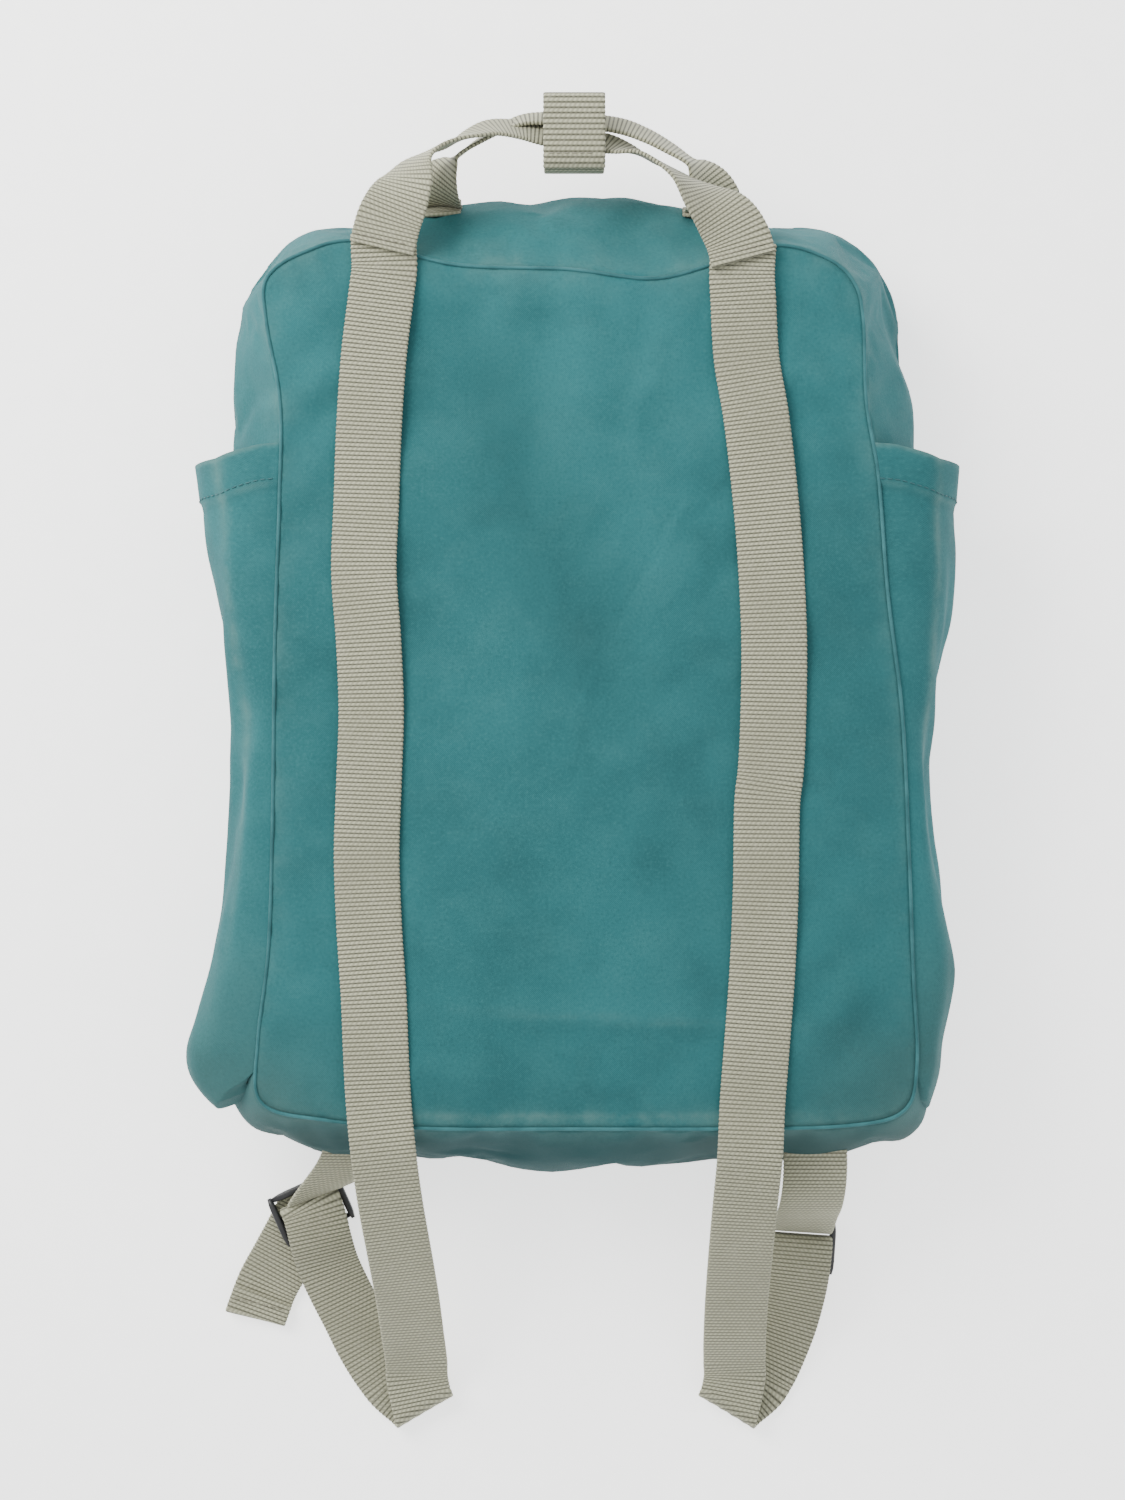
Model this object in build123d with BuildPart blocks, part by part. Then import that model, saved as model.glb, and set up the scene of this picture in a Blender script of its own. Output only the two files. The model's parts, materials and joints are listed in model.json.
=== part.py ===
"""Daypack of canvas and webbing, lying on its front with its back panel up.

Millimetres.  +Z points out of the back panel, +Y towards the top of the pack (its handles),
+X to the right seen from behind.  The origin is on the resting face, under the middle of the bag.
"""
from build123d import *
import os

# ---- driving dimensions ------------------------------------------------------------------------
FABRIC = 1.4                # canvas with its lining
WEBBING_WIDTH = 28.0
WEBBING_THICKNESS = 1.8
CLEAR = 0.3                 # least gap between pieces that move apart

# Outline of the bag at a few heights: height, half width, half length, corner radius.
BAG_SECTIONS = [
    (13.5, 139.0, 199.0, 42.0),
    (20.0, 144.5, 205.0, 46.0),
    (33.0, 144.5, 205.0, 46.0),
    (48.0, 148.0, 210.0, 48.0),
    (80.0, 132.0, 184.0, 34.0),
]
FRONT_PANEL_Z = 12.0        # outer face of the front panel
BACK_PANEL_Z = 80.0         # outer face of the back panel
FLAP_HINGE_Y = -177.0       # line across the front where the opening flap folds
FLAP_GAP = 1.0              # half of the slit left open along that line

ZIP_CENTRE_Z = 26.5
ZIP_WINDOW = 10.0           # width left open between the two canvas edges
COIL_GAP = 1.4              # between the two rows of coil
COIL_WIDTH = 1.2
COIL_INSET = 0.3
COIL_THICKNESS = 1.2
TAPE_INSET = 1.6
TAPE_THICKNESS = 0.8
FRONT_TAPE_LOW_Z = 20.2
REAR_TAPE_HIGH_Z = 33.0
BINDING_Z = (70.0, 74.0)    # tape over the raw edges of the back seam
BINDING_THICKNESS = 0.8

FOAM_SIZE = (244.0, 344.0, 4.8)
FOAM_CORNER = 28.0
SLEEVE_WIDTH = 224.0
SLEEVE_Y = (-160.0, 118.0)
SLEEVE_Z = (66.0, 73.4)

POCKET_HALF_WIDTH = 100.0
POCKET_Y = (-160.0, 50.0)
POCKET_WALL = 1.2
POCKET_ZIP_LENGTH = 176.0
POCKET_ZIP_Z = 6.0
POCKET_WINDOW = 6.8
POCKET_CORNER = 10.0
POCKET_TAPE_Z = ((1.4, 5.4), (6.6, 10.6))    # lower and upper tape
POCKET_COIL_Z = ((4.5, 5.4), (6.6, 7.5))
POCKET_TAPE_THICKNESS = 0.7
POCKET_COIL_THICKNESS = 1.0
POCKET_SLIDER_PLATE = (10.0, 1.0, 6.0)
POCKET_PULL_LENGTH = 16.0

SIDE_POCKET_X = (130.0, 167.0)
SIDE_POCKET_Y = (-196.0, 100.0)
SIDE_POCKET_Z = (30.0, 72.0)
SIDE_POCKET_WALL = 1.4
SIDE_POCKET_CORNER = 9.0
HEM_HEIGHT = 17.0
HEM_THICKNESS = 1.0

SLIDER_PLATE = (13.0, 1.2, 8.4)
SLIDER_X = 16.0             # each main slider stands this far from the middle
PULL_LENGTH = 26.0
PIN_RADIUS = 0.8
EYE_RADIUS = 0.9
PULL_EYE_OUTER = 1.9

STRAP_Z = 81.6              # middle of the shoulder straps where they lie on the back panel
HANDLE_HINGE_Y = 192.0
HANDLE_Z = 83.8             # middle of the carry handle's sewn ends, on top of the straps
BASE_LENGTH = 15.0
BACK_BASE_X = {"left": -80.0, "right": 72.0}
FRONT_BASE_X = {"left": -58.0, "right": 58.0}

GRIP_X = (-12.0, 14.0)
GRIP_CENTRE = (237.5, 65.5)
GRIP_OUTER = (31.0, 17.0)
GRIP_WALL = 1.5
GRIP_FLAP_Z = 75.3

BUCKLE_SIZE = (35.0, 24.0, 3.6)
BUCKLE_SLOT = (29.0, 5.0)
BUCKLE_SLOT_OFFSET = 5.2
BUCKLE_LEFT = (-117.0, -232.0, 11.0)
BUCKLE_RIGHT = (101.5, -249.0, 11.0)
BUCKLE_LEFT_BARS = (0.91, 0.41, 0.0)
BUCKLE_RIGHT_BARS = (1.0, -0.07, 0.0)

os.makedirs("parts", exist_ok=True)


def save(piece, name):
    """Label one finished piece and write it."""
    piece.part.label = name
    export_step(piece.part, f"parts/{name}.step")


def outline_at(height):
    """Half width, half length and corner radius of the bag at a height."""
    for low, high in zip(BAG_SECTIONS, BAG_SECTIONS[1:]):
        if height <= high[0]:
            break
    share = (height - low[0]) / (high[0] - low[0])
    return [low[i] + share * (high[i] - low[i]) for i in (1, 2, 3)]


def bag_loft(bottom, top, inset, mode=Mode.ADD):
    """Solid filling the bag's outline between two heights, drawn in by inset."""
    heights = [bottom] + [row[0] for row in BAG_SECTIONS if bottom < row[0] < top] + [top]
    profiles = []
    for height in heights:
        half_width, half_length, radius = outline_at(height)
        with BuildSketch(Plane.XY.offset(height)) as profile:
            RectangleRounded(2 * (half_width - inset), 2 * (half_length - inset), radius - inset)
        profiles.append(profile.sketch)
    loft(profiles, ruled=True, mode=mode)


def wall_ring(bottom, top, inset, thickness):
    """Open ring of the bag's side wall between two heights."""
    bag_loft(bottom, top, inset)
    bag_loft(bottom, top, inset + thickness, mode=Mode.SUBTRACT)


def keep_side(side):
    """Keep only the stretch of a ring that faces one side, cut through the corners."""
    far = 400.0
    corner_x = 98.0
    corner_y = 156.0
    corners = {
        "left": [(0, 0), (-corner_x, corner_y), (-far, far), (-far, -far), (-corner_x, -corner_y)],
        "right": [(0, 0), (corner_x, corner_y), (far, far), (far, -far), (corner_x, -corner_y)],
        "top": [(0, 0), (-corner_x, corner_y), (-far, far), (far, far), (corner_x, corner_y)],
        "bottom": [(0, 0), (-corner_x, -corner_y), (-far, -far), (far, -far), (corner_x, -corner_y)],
    }
    with BuildSketch(Plane.XY) as wedge:
        with BuildLine():
            Polyline(*corners[side], close=True)
        make_face()
    extrude(wedge.sketch, amount=BACK_PANEL_Z + 20, mode=Mode.INTERSECT)


def keep_above_hinge(above):
    """Keep the stretch on one side of the flap's folding line."""
    depth = 600.0
    if above:
        centre = FLAP_HINGE_Y + FLAP_GAP + depth / 2
    else:
        centre = FLAP_HINGE_Y - FLAP_GAP - depth / 2
    with BuildSketch(Plane.XY) as kept:
        with Locations((0, centre)):
            Rectangle(600, depth)
    extrude(kept.sketch, amount=BACK_PANEL_Z + 20, mode=Mode.INTERSECT)


def webbing(name, stations, thickness=WEBBING_THICKNESS):
    """Flat webbing lofted through stations: centre, width direction, and width if not the usual."""
    centres = [Vector(*row[0]) for row in stations]
    with BuildPart() as strip:
        for index, row in enumerate(stations):
            ahead = centres[min(index + 1, len(centres) - 1)]
            behind = centres[max(index - 1, 0)]
            travel = (ahead - behind).normalized()
            across = Vector(*row[1])
            across = (across - travel * across.dot(travel)).normalized()
            width = row[2] if len(row) > 2 else WEBBING_WIDTH
            with BuildSketch(Plane(origin=centres[index], x_dir=across, z_dir=travel)):
                Rectangle(width, thickness)
        loft(ruled=True)
    save(strip, name)


# ---- rear shell: back panel, gussets, padding ---------------------------------------------------
with BuildPart() as back_panel:
    bag_loft(BACK_PANEL_Z - FABRIC, BACK_PANEL_Z, FABRIC + 0.1)
save(back_panel, "back_panel")

with BuildPart() as back_foam:
    with BuildSketch(Plane.XY.offset(BACK_PANEL_Z - FABRIC - 0.2 - FOAM_SIZE[2])):
        RectangleRounded(FOAM_SIZE[0], FOAM_SIZE[1], FOAM_CORNER)
    extrude(amount=FOAM_SIZE[2])
save(back_foam, "back_foam")

with BuildPart() as inner_sleeve:
    sleeve_length = SLEEVE_Y[1] - SLEEVE_Y[0]
    sleeve_middle = (SLEEVE_Y[0] + SLEEVE_Y[1]) / 2
    with BuildSketch(Plane.XY.offset(SLEEVE_Z[0])):
        with Locations((0, sleeve_middle)):
            Rectangle(SLEEVE_WIDTH, sleeve_length)
    extrude(amount=SLEEVE_Z[1] - SLEEVE_Z[0])
    with BuildSketch(Plane.XY.offset(SLEEVE_Z[0] + FABRIC)):
        with Locations((0, sleeve_middle + FABRIC)):
            Rectangle(SLEEVE_WIDTH - 2 * FABRIC, sleeve_length)
    extrude(amount=SLEEVE_Z[1] - SLEEVE_Z[0], mode=Mode.SUBTRACT)
save(inner_sleeve, "inner_sleeve")

rear_edge = ZIP_CENTRE_Z + ZIP_WINDOW / 2
front_edge = ZIP_CENTRE_Z - ZIP_WINDOW / 2
for side in ("left", "right", "top", "bottom"):
    with BuildPart() as gusset:
        wall_ring(rear_edge, BACK_PANEL_Z, 0, FABRIC)
        keep_side(side)
    save(gusset, f"gusset_{side}")

with BuildPart() as back_seam_binding:
    wall_ring(*BINDING_Z, FABRIC + 0.2, BINDING_THICKNESS)
save(back_seam_binding, "back_seam_binding")

with BuildPart() as front_base:
    wall_ring(BAG_SECTIONS[0][0], rear_edge - 0.1, 0, FABRIC)
    keep_above_hinge(False)
save(front_base, "front_base")

with BuildPart() as front_base_panel:
    with BuildSketch(Plane.XY.offset(FRONT_PANEL_Z)):
        RectangleRounded(2 * BAG_SECTIONS[0][1], 2 * BAG_SECTIONS[0][2], BAG_SECTIONS[0][3])
    extrude(amount=FABRIC)
    keep_above_hinge(False)
save(front_base_panel, "front_base_panel")

# ---- main zip, rear half ------------------------------------------------------------------------
rear_coil_z = ZIP_CENTRE_Z + COIL_GAP / 2
with BuildPart() as zip_tape_rear:
    wall_ring(rear_coil_z + 0.2, REAR_TAPE_HIGH_Z, TAPE_INSET, TAPE_THICKNESS)
save(zip_tape_rear, "zip_tape_rear")

with BuildPart() as zip_coil_rear:
    wall_ring(rear_coil_z, rear_coil_z + COIL_WIDTH, COIL_INSET, COIL_THICKNESS)
    keep_above_hinge(True)
save(zip_coil_rear, "zip_coil_rear")

# ---- opening flap: front panel, its gusset strips, the front half of the zip --------------------
with BuildPart() as front_panel:
    with BuildSketch(Plane.XY.offset(FRONT_PANEL_Z)):
        RectangleRounded(2 * BAG_SECTIONS[0][1], 2 * BAG_SECTIONS[0][2], BAG_SECTIONS[0][3])
    extrude(amount=FABRIC)
    keep_above_hinge(True)
save(front_panel, "front_panel")

for side in ("left", "right", "top"):
    with BuildPart() as flap_strip:
        wall_ring(BAG_SECTIONS[0][0], front_edge, 0, FABRIC)
        keep_side(side)
        keep_above_hinge(True)
    save(flap_strip, f"flap_gusset_{side}")

front_coil_top = ZIP_CENTRE_Z - COIL_GAP / 2
with BuildPart() as zip_tape_front:
    wall_ring(FRONT_TAPE_LOW_Z, front_coil_top - 0.2, TAPE_INSET, TAPE_THICKNESS)
    keep_above_hinge(True)
save(zip_tape_front, "zip_tape_front")

with BuildPart() as zip_coil_front:
    wall_ring(front_coil_top - COIL_WIDTH, front_coil_top, COIL_INSET, COIL_THICKNESS)
    keep_above_hinge(True)
save(zip_coil_front, "zip_coil_front")

# ---- front pocket on the flap -------------------------------------------------------------------
pocket_length = POCKET_Y[1] - POCKET_Y[0]
pocket_middle = (POCKET_Y[0] + POCKET_Y[1]) / 2
with BuildPart() as front_pocket:
    with BuildSketch(Plane.XY):
        with Locations((0, pocket_middle)):
            RectangleRounded(2 * POCKET_HALF_WIDTH, pocket_length, POCKET_CORNER)
    extrude(amount=FRONT_PANEL_Z)
    with BuildSketch(Plane.XY.offset(POCKET_WALL)):
        with Locations((0, pocket_middle)):
            RectangleRounded(
                2 * (POCKET_HALF_WIDTH - POCKET_WALL), pocket_length - 2 * POCKET_WALL, POCKET_CORNER - 1
            )
    extrude(amount=FRONT_PANEL_Z, mode=Mode.SUBTRACT)
    with BuildSketch(Plane.XZ.offset(-POCKET_Y[1] - 1)):
        with Locations((0, POCKET_ZIP_Z)):
            Rectangle(POCKET_ZIP_LENGTH, POCKET_WINDOW)
    extrude(amount=6, mode=Mode.SUBTRACT)
save(front_pocket, "front_pocket")


def pocket_strip(name, low_z, high_z, low_y, high_y):
    """Straight strip along the front pocket's zip."""
    with BuildPart() as strip:
        with BuildSketch(Plane.XY.offset(low_z)):
            with Locations((0, (low_y + high_y) / 2)):
                Rectangle(POCKET_ZIP_LENGTH, high_y - low_y)
        extrude(amount=high_z - low_z)
    save(strip, name)


tape_face = POCKET_Y[1] - POCKET_WALL - 0.3
tape_back = tape_face - POCKET_TAPE_THICKNESS
coil_back = tape_face + 0.1
coil_face = coil_back + POCKET_COIL_THICKNESS
for place, tape_z, coil_z in zip(("lower", "upper"), POCKET_TAPE_Z, POCKET_COIL_Z):
    pocket_strip(f"pocket_zip_tape_{place}", *tape_z, tape_back, tape_face)
    pocket_strip(f"pocket_zip_coil_{place}", *coil_z, coil_back, coil_face)


# ---- zip sliders and their pulls ----------------------------------------------------------------
def upright_box(x_range, y_range, z_range, mode=Mode.ADD):
    """Box between two corners."""
    with BuildSketch(Plane.XY.offset(z_range[0])) as base:
        with Locations(((x_range[0] + x_range[1]) / 2, (y_range[0] + y_range[1]) / 2)):
            Rectangle(x_range[1] - x_range[0], y_range[1] - y_range[0])
    extrude(base.sketch, amount=z_range[1] - z_range[0], mode=mode)


def slider_and_pull(slider_name, pull_name, x, centre_z, coil_y, tape_y, plate, pull_side, pull_length):
    """Zip slider round a pair of coils that face +Y, and the pull that turns on its pin."""
    length, thickness, width = plate
    low_z = centre_z - width / 2
    high_z = centre_z + width / 2
    outer_low = coil_y + 0.4
    outer_high = outer_low + thickness
    inner_high = tape_y - 0.4
    pin_y = outer_high + PULL_EYE_OUTER + 0.2
    lug = 1.1
    x_range = (x - length / 2, x + length / 2)
    with BuildPart() as slider:
        upright_box(x_range, (outer_low, outer_high), (low_z, high_z))
        upright_box(x_range, (inner_high - thickness, inner_high), (low_z, high_z))
        upright_box((x - 1.5, x + 1.5), (inner_high - 0.1, outer_low + 0.1), (centre_z - 0.35, centre_z + 0.35))
        for low in (low_z, high_z - lug):
            upright_box((x - 1.8, x + 1.8), (outer_high - 0.1, pin_y + 1.6), (low, low + lug))
        with BuildSketch(Plane.XY.offset(low_z)):
            with Locations((x, pin_y)):
                Circle(PIN_RADIUS)
        extrude(amount=width)
    save(slider, slider_name)
    with BuildPart() as pull:
        with BuildSketch(Plane.XY.offset(low_z + lug + CLEAR)):
            with Locations((x, pin_y)):
                Circle(PULL_EYE_OUTER)
            with Locations((x + pull_side * pull_length / 2, pin_y)):
                Rectangle(pull_length, 1.6)
            with Locations((x, pin_y)):
                Circle(EYE_RADIUS, mode=Mode.SUBTRACT)
        extrude(amount=width - 2 * (lug + CLEAR))
    save(pull, pull_name)


zip_face = BAG_SECTIONS[1][2] - COIL_INSET
zip_back = BAG_SECTIONS[1][2] - TAPE_INSET - TAPE_THICKNESS
for side_name, side_sign in (("left", -1), ("right", 1)):
    slider_and_pull(
        f"zip_slider_{side_name}", f"zip_pull_{side_name}", side_sign * SLIDER_X, ZIP_CENTRE_Z,
        zip_face, zip_back, SLIDER_PLATE, side_sign, PULL_LENGTH,
    )
slider_and_pull(
    "pocket_slider", "pocket_pull", POCKET_ZIP_LENGTH / 2 - 10, POCKET_ZIP_Z,
    coil_face, tape_back, POCKET_SLIDER_PLATE, -1, POCKET_PULL_LENGTH,
)


# ---- side pockets -------------------------------------------------------------------------------
def side_box(side_sign, grow, y_range, mode):
    """Rounded box beside the bag, grown outwards by grow."""
    outer = SIDE_POCKET_X[1] + grow
    inner = SIDE_POCKET_X[0]
    low_z = SIDE_POCKET_Z[0] - grow
    high_z = SIDE_POCKET_Z[1] + grow
    radius = SIDE_POCKET_CORNER + grow
    with BuildSketch(Plane.XZ.offset(-y_range[0])) as end:
        with BuildLine():
            Polyline(
                (side_sign * inner, low_z), (side_sign * (outer - radius), low_z),
                (side_sign * outer, low_z + radius), (side_sign * outer, high_z - radius),
                (side_sign * (outer - radius), high_z), (side_sign * inner, high_z), close=True,
            )
        make_face()
    extrude(end.sketch, amount=-(y_range[1] - y_range[0]), mode=mode)


for side_name, side_sign in (("left", -1), ("right", 1)):
    with BuildPart() as side_pocket:
        side_box(side_sign, 0, SIDE_POCKET_Y, Mode.ADD)
        side_box(
            side_sign, -SIDE_POCKET_WALL,
            (SIDE_POCKET_Y[0] + SIDE_POCKET_WALL, SIDE_POCKET_Y[1] + 1), Mode.SUBTRACT,
        )
        bag_loft(20.0, BACK_PANEL_Z, -0.2, mode=Mode.SUBTRACT)
    save(side_pocket, f"side_pocket_{side_name}")
    with BuildPart() as pocket_hem:
        hem_range = (SIDE_POCKET_Y[1] - HEM_HEIGHT, SIDE_POCKET_Y[1])
        side_box(side_sign, HEM_THICKNESS + 0.1, hem_range, Mode.ADD)
        side_box(side_sign, 0.1, (hem_range[0] - 1, hem_range[1] + 1), Mode.SUBTRACT)
        bag_loft(20.0, BACK_PANEL_Z, -0.2, mode=Mode.SUBTRACT)
    save(pocket_hem, f"pocket_hem_{side_name}")

# ---- shoulder straps ----------------------------------------------------------------------------
ACROSS = (1, 0, 0)
webbing("strap_left_upper", [
    ((-80.0, 176.0, STRAP_Z), ACROSS),
    ((-83.5, 140.0, STRAP_Z), ACROSS),
    ((-86.0, 60.0, STRAP_Z), ACROSS),
    ((-86.0, -40.0, STRAP_Z), ACROSS),
    ((-84.5, -120.0, STRAP_Z), ACROSS),
    ((-83.0, -172.0, 82.2), ACROSS),
    ((-81.5, -196.0, 81.2), ACROSS),
    ((-78.0, -220.0, 70.0), (1, 0.1, 0)),
    ((-73.5, -246.0, 54.0), (1, 0.15, 0)),
    ((-70.5, -274.0, 34.0), (1, 0.1, 0)),
    ((-69.0, -300.0, 18.0), (1, 0.1, 0)),
    ((-68.5, -319.0, 10.0), (1, 0.1, 0)),
])
webbing("strap_right_upper", [
    ((72.0, 176.0, STRAP_Z), ACROSS),
    ((74.5, 140.0, STRAP_Z), ACROSS),
    ((81.5, 60.0, STRAP_Z), ACROSS),
    ((85.0, -20.0, STRAP_Z), ACROSS),
    ((82.5, -110.0, STRAP_Z), ACROSS),
    ((78.5, -172.0, 82.2), ACROSS),
    ((76.0, -196.0, 81.2), ACROSS),
    ((74.0, -220.0, 70.0), (1, -0.05, 0)),
    ((72.0, -246.0, 54.0), ACROSS),
    ((72.0, -274.0, 34.0), ACROSS),
    ((72.5, -302.0, 18.0), ACROSS),
    ((73.5, -322.0, 10.0), ACROSS),
])
webbing("strap_left_lower", [
    ((-79.0, -321.0, 4.0), (1, 0.5, 0)),
    ((-94.0, -299.0, 5.5), (1, 0.5, 0)),
    ((-108.5, -268.0, 9.0), (1, 0.35, 0)),
    ((-114.5, -246.5, 16.0), (1, 0.35, 0)),
])
webbing("strap_right_lower", [
    ((80.0, -323.0, 4.0), (1, -0.5, 0)),
    ((89.0, -304.0, 5.5), (1, -0.4, 0)),
    ((98.0, -284.0, 9.0), (1, -0.2, 0)),
    ((101.0, -263.5, 16.0), (1, -0.1, 0)),
])
webbing("anchor_left", [
    ((-103.0, -211.0, 44.0), (1, 0.2, 0)),
    ((-106.0, -215.0, 32.0), (1, 0.3, 0)),
    ((-110.5, -219.0, 22.5), (1, 0.4, 0)),
])
webbing("anchor_right", [
    ((106.0, -212.0, 46.0), ACROSS),
    ((105.0, -222.0, 38.0), ACROSS),
    ((103.0, -231.0, 26.0), ACROSS),
    ((102.0, -236.0, 18.0), ACROSS),
])


def ladder_lock(side_name, centre, direction):
    """Ladder-lock buckle whose bars run along a direction."""
    with BuildPart() as buckle:
        with BuildSketch(Plane(origin=centre, x_dir=direction, z_dir=(0, 0, 1))):
            RectangleRounded(BUCKLE_SIZE[0], BUCKLE_SIZE[1], 3)
            with Locations((0, BUCKLE_SLOT_OFFSET), (0, -BUCKLE_SLOT_OFFSET)):
                Rectangle(*BUCKLE_SLOT, mode=Mode.SUBTRACT)
        extrude(amount=BUCKLE_SIZE[2])
    save(buckle, f"buckle_{side_name}")


ladder_lock("left", BUCKLE_LEFT, BUCKLE_LEFT_BARS)
ladder_lock("right", BUCKLE_RIGHT, BUCKLE_RIGHT_BARS)
webbing("strap_fold_left", [
    ((-114.5, -242.0, 16.4), (1, 0.4, 0)),
    ((-120.0, -228.0, 17.2), (1, 0.4, 0)),
    ((-122.0, -223.0, 16.4), (1, 0.4, 0)),
])
webbing("strap_fold_right", [
    ((101.0, -259.0, 16.4), ACROSS),
    ((102.0, -246.0, 17.2), ACROSS),
    ((102.5, -241.0, 16.4), ACROSS),
])
webbing("strap_tail_left", [
    ((-122.0, -236.0, 7.4), (1, 0.3, 0)),
    ((-130.0, -250.0, 5.0), (1, 0.3, 0)),
    ((-137.0, -267.0, 3.2), (1, 0.25, 0)),
    ((-143.0, -284.0, 2.6), (1, 0.25, 0)),
])
webbing("strap_tail_right", [
    ((101.0, -252.0, 7.4), ACROSS),
    ((98.0, -262.0, 5.0), ACROSS),
    ((93.0, -276.0, 3.0), (1, -0.2, 0)),
    ((87.0, -288.0, 2.6), (1, -0.2, 0)),
])

# ---- carry handles ------------------------------------------------------------------------------
for side_name, x in BACK_BASE_X.items():
    webbing(f"back_handle_base_{side_name}", [
        ((x, HANDLE_HINGE_Y - BASE_LENGTH, HANDLE_Z), ACROSS),
        ((x, HANDLE_HINGE_Y - 0.6, HANDLE_Z), ACROSS),
    ])
for side_name, x in FRONT_BASE_X.items():
    webbing(f"front_handle_base_{side_name}", [
        ((x, 207.4, 35.0), ACROSS),
        ((x, 211.1, 46.0), ACROSS),
    ])

webbing("back_handle", [
    ((-80.0, HANDLE_HINGE_Y + 0.4, HANDLE_Z), ACROSS),
    ((-80.0, 198.0, HANDLE_Z), ACROSS),
    ((-74.0, 210.0, 82.0), ACROSS),
    ((-61.0, 225.0, 78.5), (0.6, -0.8, 0)),
    ((-38.0, 236.0, 73.5), (0.3, -0.95, 0), 26.0),
    ((-13.0, 237.5, 69.3), (0, -1, 0), 24.0),
    ((15.0, 237.5, 69.3), (0, -1, 0), 24.0),
    ((38.0, 233.0, 73.5), (-0.35, -0.93, 0), 26.0),
    ((57.0, 221.0, 78.5), (-0.7, -0.7, 0)),
    ((69.0, 208.0, 82.0), (-1, -0.2, 0)),
    ((72.0, 198.0, HANDLE_Z), (-1, 0, 0)),
    ((72.0, HANDLE_HINGE_Y + 0.4, HANDLE_Z), (-1, 0, 0)),
])
webbing("front_handle", [
    ((-57.0, 215.5, 50.0), ACROSS),
    ((-57.0, 219.0, 51.5), ACROSS),
    ((-49.0, 228.0, 54.5), (0.8, -0.6, 0)),
    ((-34.0, 235.0, 58.5), (0.3, -0.95, 0), 26.0),
    ((-13.0, 237.5, 61.7), (0, -1, 0), 24.0),
    ((15.0, 237.5, 61.7), (0, -1, 0), 24.0),
    ((34.0, 235.0, 58.5), (-0.3, -0.95, 0), 26.0),
    ((49.0, 228.0, 54.5), (-0.8, -0.6, 0)),
    ((57.0, 219.0, 51.5), (-1, 0, 0)),
    ((57.0, 215.5, 50.0), (-1, 0, 0)),
])

grip_length = GRIP_X[1] - GRIP_X[0]
with BuildPart() as grip_wrap:
    with BuildSketch(Plane.YZ.offset(GRIP_X[0])):
        with Locations(GRIP_CENTRE):
            RectangleRounded(*GRIP_OUTER, 6)
            RectangleRounded(
                GRIP_OUTER[0] - 2 * GRIP_WALL, GRIP_OUTER[1] - 2 * GRIP_WALL, 4.5, mode=Mode.SUBTRACT
            )
    extrude(amount=grip_length)
save(grip_wrap, "grip_wrap")

grip_low_y = GRIP_CENTRE[0] - GRIP_OUTER[0] / 2
grip_high_y = GRIP_CENTRE[0] + GRIP_OUTER[0] / 2
grip_top_z = GRIP_CENTRE[1] + GRIP_OUTER[1] / 2
with BuildPart() as grip_flap:
    upright_box(GRIP_X, (grip_low_y + 1, grip_high_y - 1), (GRIP_FLAP_Z, GRIP_FLAP_Z + GRIP_WALL))
save(grip_flap, "grip_flap")

patch_x = (GRIP_X[0] + 3, GRIP_X[1] - 3)
patch_y = (grip_low_y + 7, grip_low_y + 19)
patch_split = (grip_top_z + GRIP_FLAP_Z) / 2
with BuildPart() as loop_patch:
    upright_box(patch_x, patch_y, (grip_top_z, patch_split - 0.1))
save(loop_patch, "grip_loop_patch")
with BuildPart() as hook_patch:
    upright_box(patch_x, patch_y, (patch_split + 0.1, GRIP_FLAP_Z))
save(hook_patch, "grip_hook_patch")
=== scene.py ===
"""Looks of the canvas daypack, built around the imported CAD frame.  Lengths below are millimetres
until a mesh is made; meshes are written in metres."""

import json
import math

import bmesh
import bpy
import numpy as np
from mathutils import Matrix, Vector, noise
from mathutils.bvhtree import BVHTree

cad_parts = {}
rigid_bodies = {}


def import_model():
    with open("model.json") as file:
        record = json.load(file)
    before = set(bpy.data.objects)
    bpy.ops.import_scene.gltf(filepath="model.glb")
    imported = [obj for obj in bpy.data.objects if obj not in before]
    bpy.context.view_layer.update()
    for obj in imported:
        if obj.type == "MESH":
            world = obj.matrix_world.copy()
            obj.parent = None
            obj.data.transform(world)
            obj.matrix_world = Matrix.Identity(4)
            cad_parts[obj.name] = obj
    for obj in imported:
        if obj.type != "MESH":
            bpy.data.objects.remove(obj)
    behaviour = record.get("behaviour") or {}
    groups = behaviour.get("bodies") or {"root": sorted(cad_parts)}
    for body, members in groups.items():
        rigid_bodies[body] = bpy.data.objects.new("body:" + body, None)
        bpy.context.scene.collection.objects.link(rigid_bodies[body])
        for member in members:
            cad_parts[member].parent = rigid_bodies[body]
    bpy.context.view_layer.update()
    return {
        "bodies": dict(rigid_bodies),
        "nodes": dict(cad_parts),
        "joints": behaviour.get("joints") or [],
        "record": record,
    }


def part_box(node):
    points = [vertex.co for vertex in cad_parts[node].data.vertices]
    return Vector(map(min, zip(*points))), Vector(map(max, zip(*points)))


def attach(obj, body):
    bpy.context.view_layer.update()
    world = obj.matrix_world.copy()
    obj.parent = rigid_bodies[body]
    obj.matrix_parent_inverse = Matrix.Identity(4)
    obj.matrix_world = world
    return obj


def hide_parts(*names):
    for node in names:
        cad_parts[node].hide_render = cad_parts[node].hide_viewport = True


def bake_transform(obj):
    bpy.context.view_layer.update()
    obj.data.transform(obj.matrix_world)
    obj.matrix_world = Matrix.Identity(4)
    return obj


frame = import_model()
MM = 0.001

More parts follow.
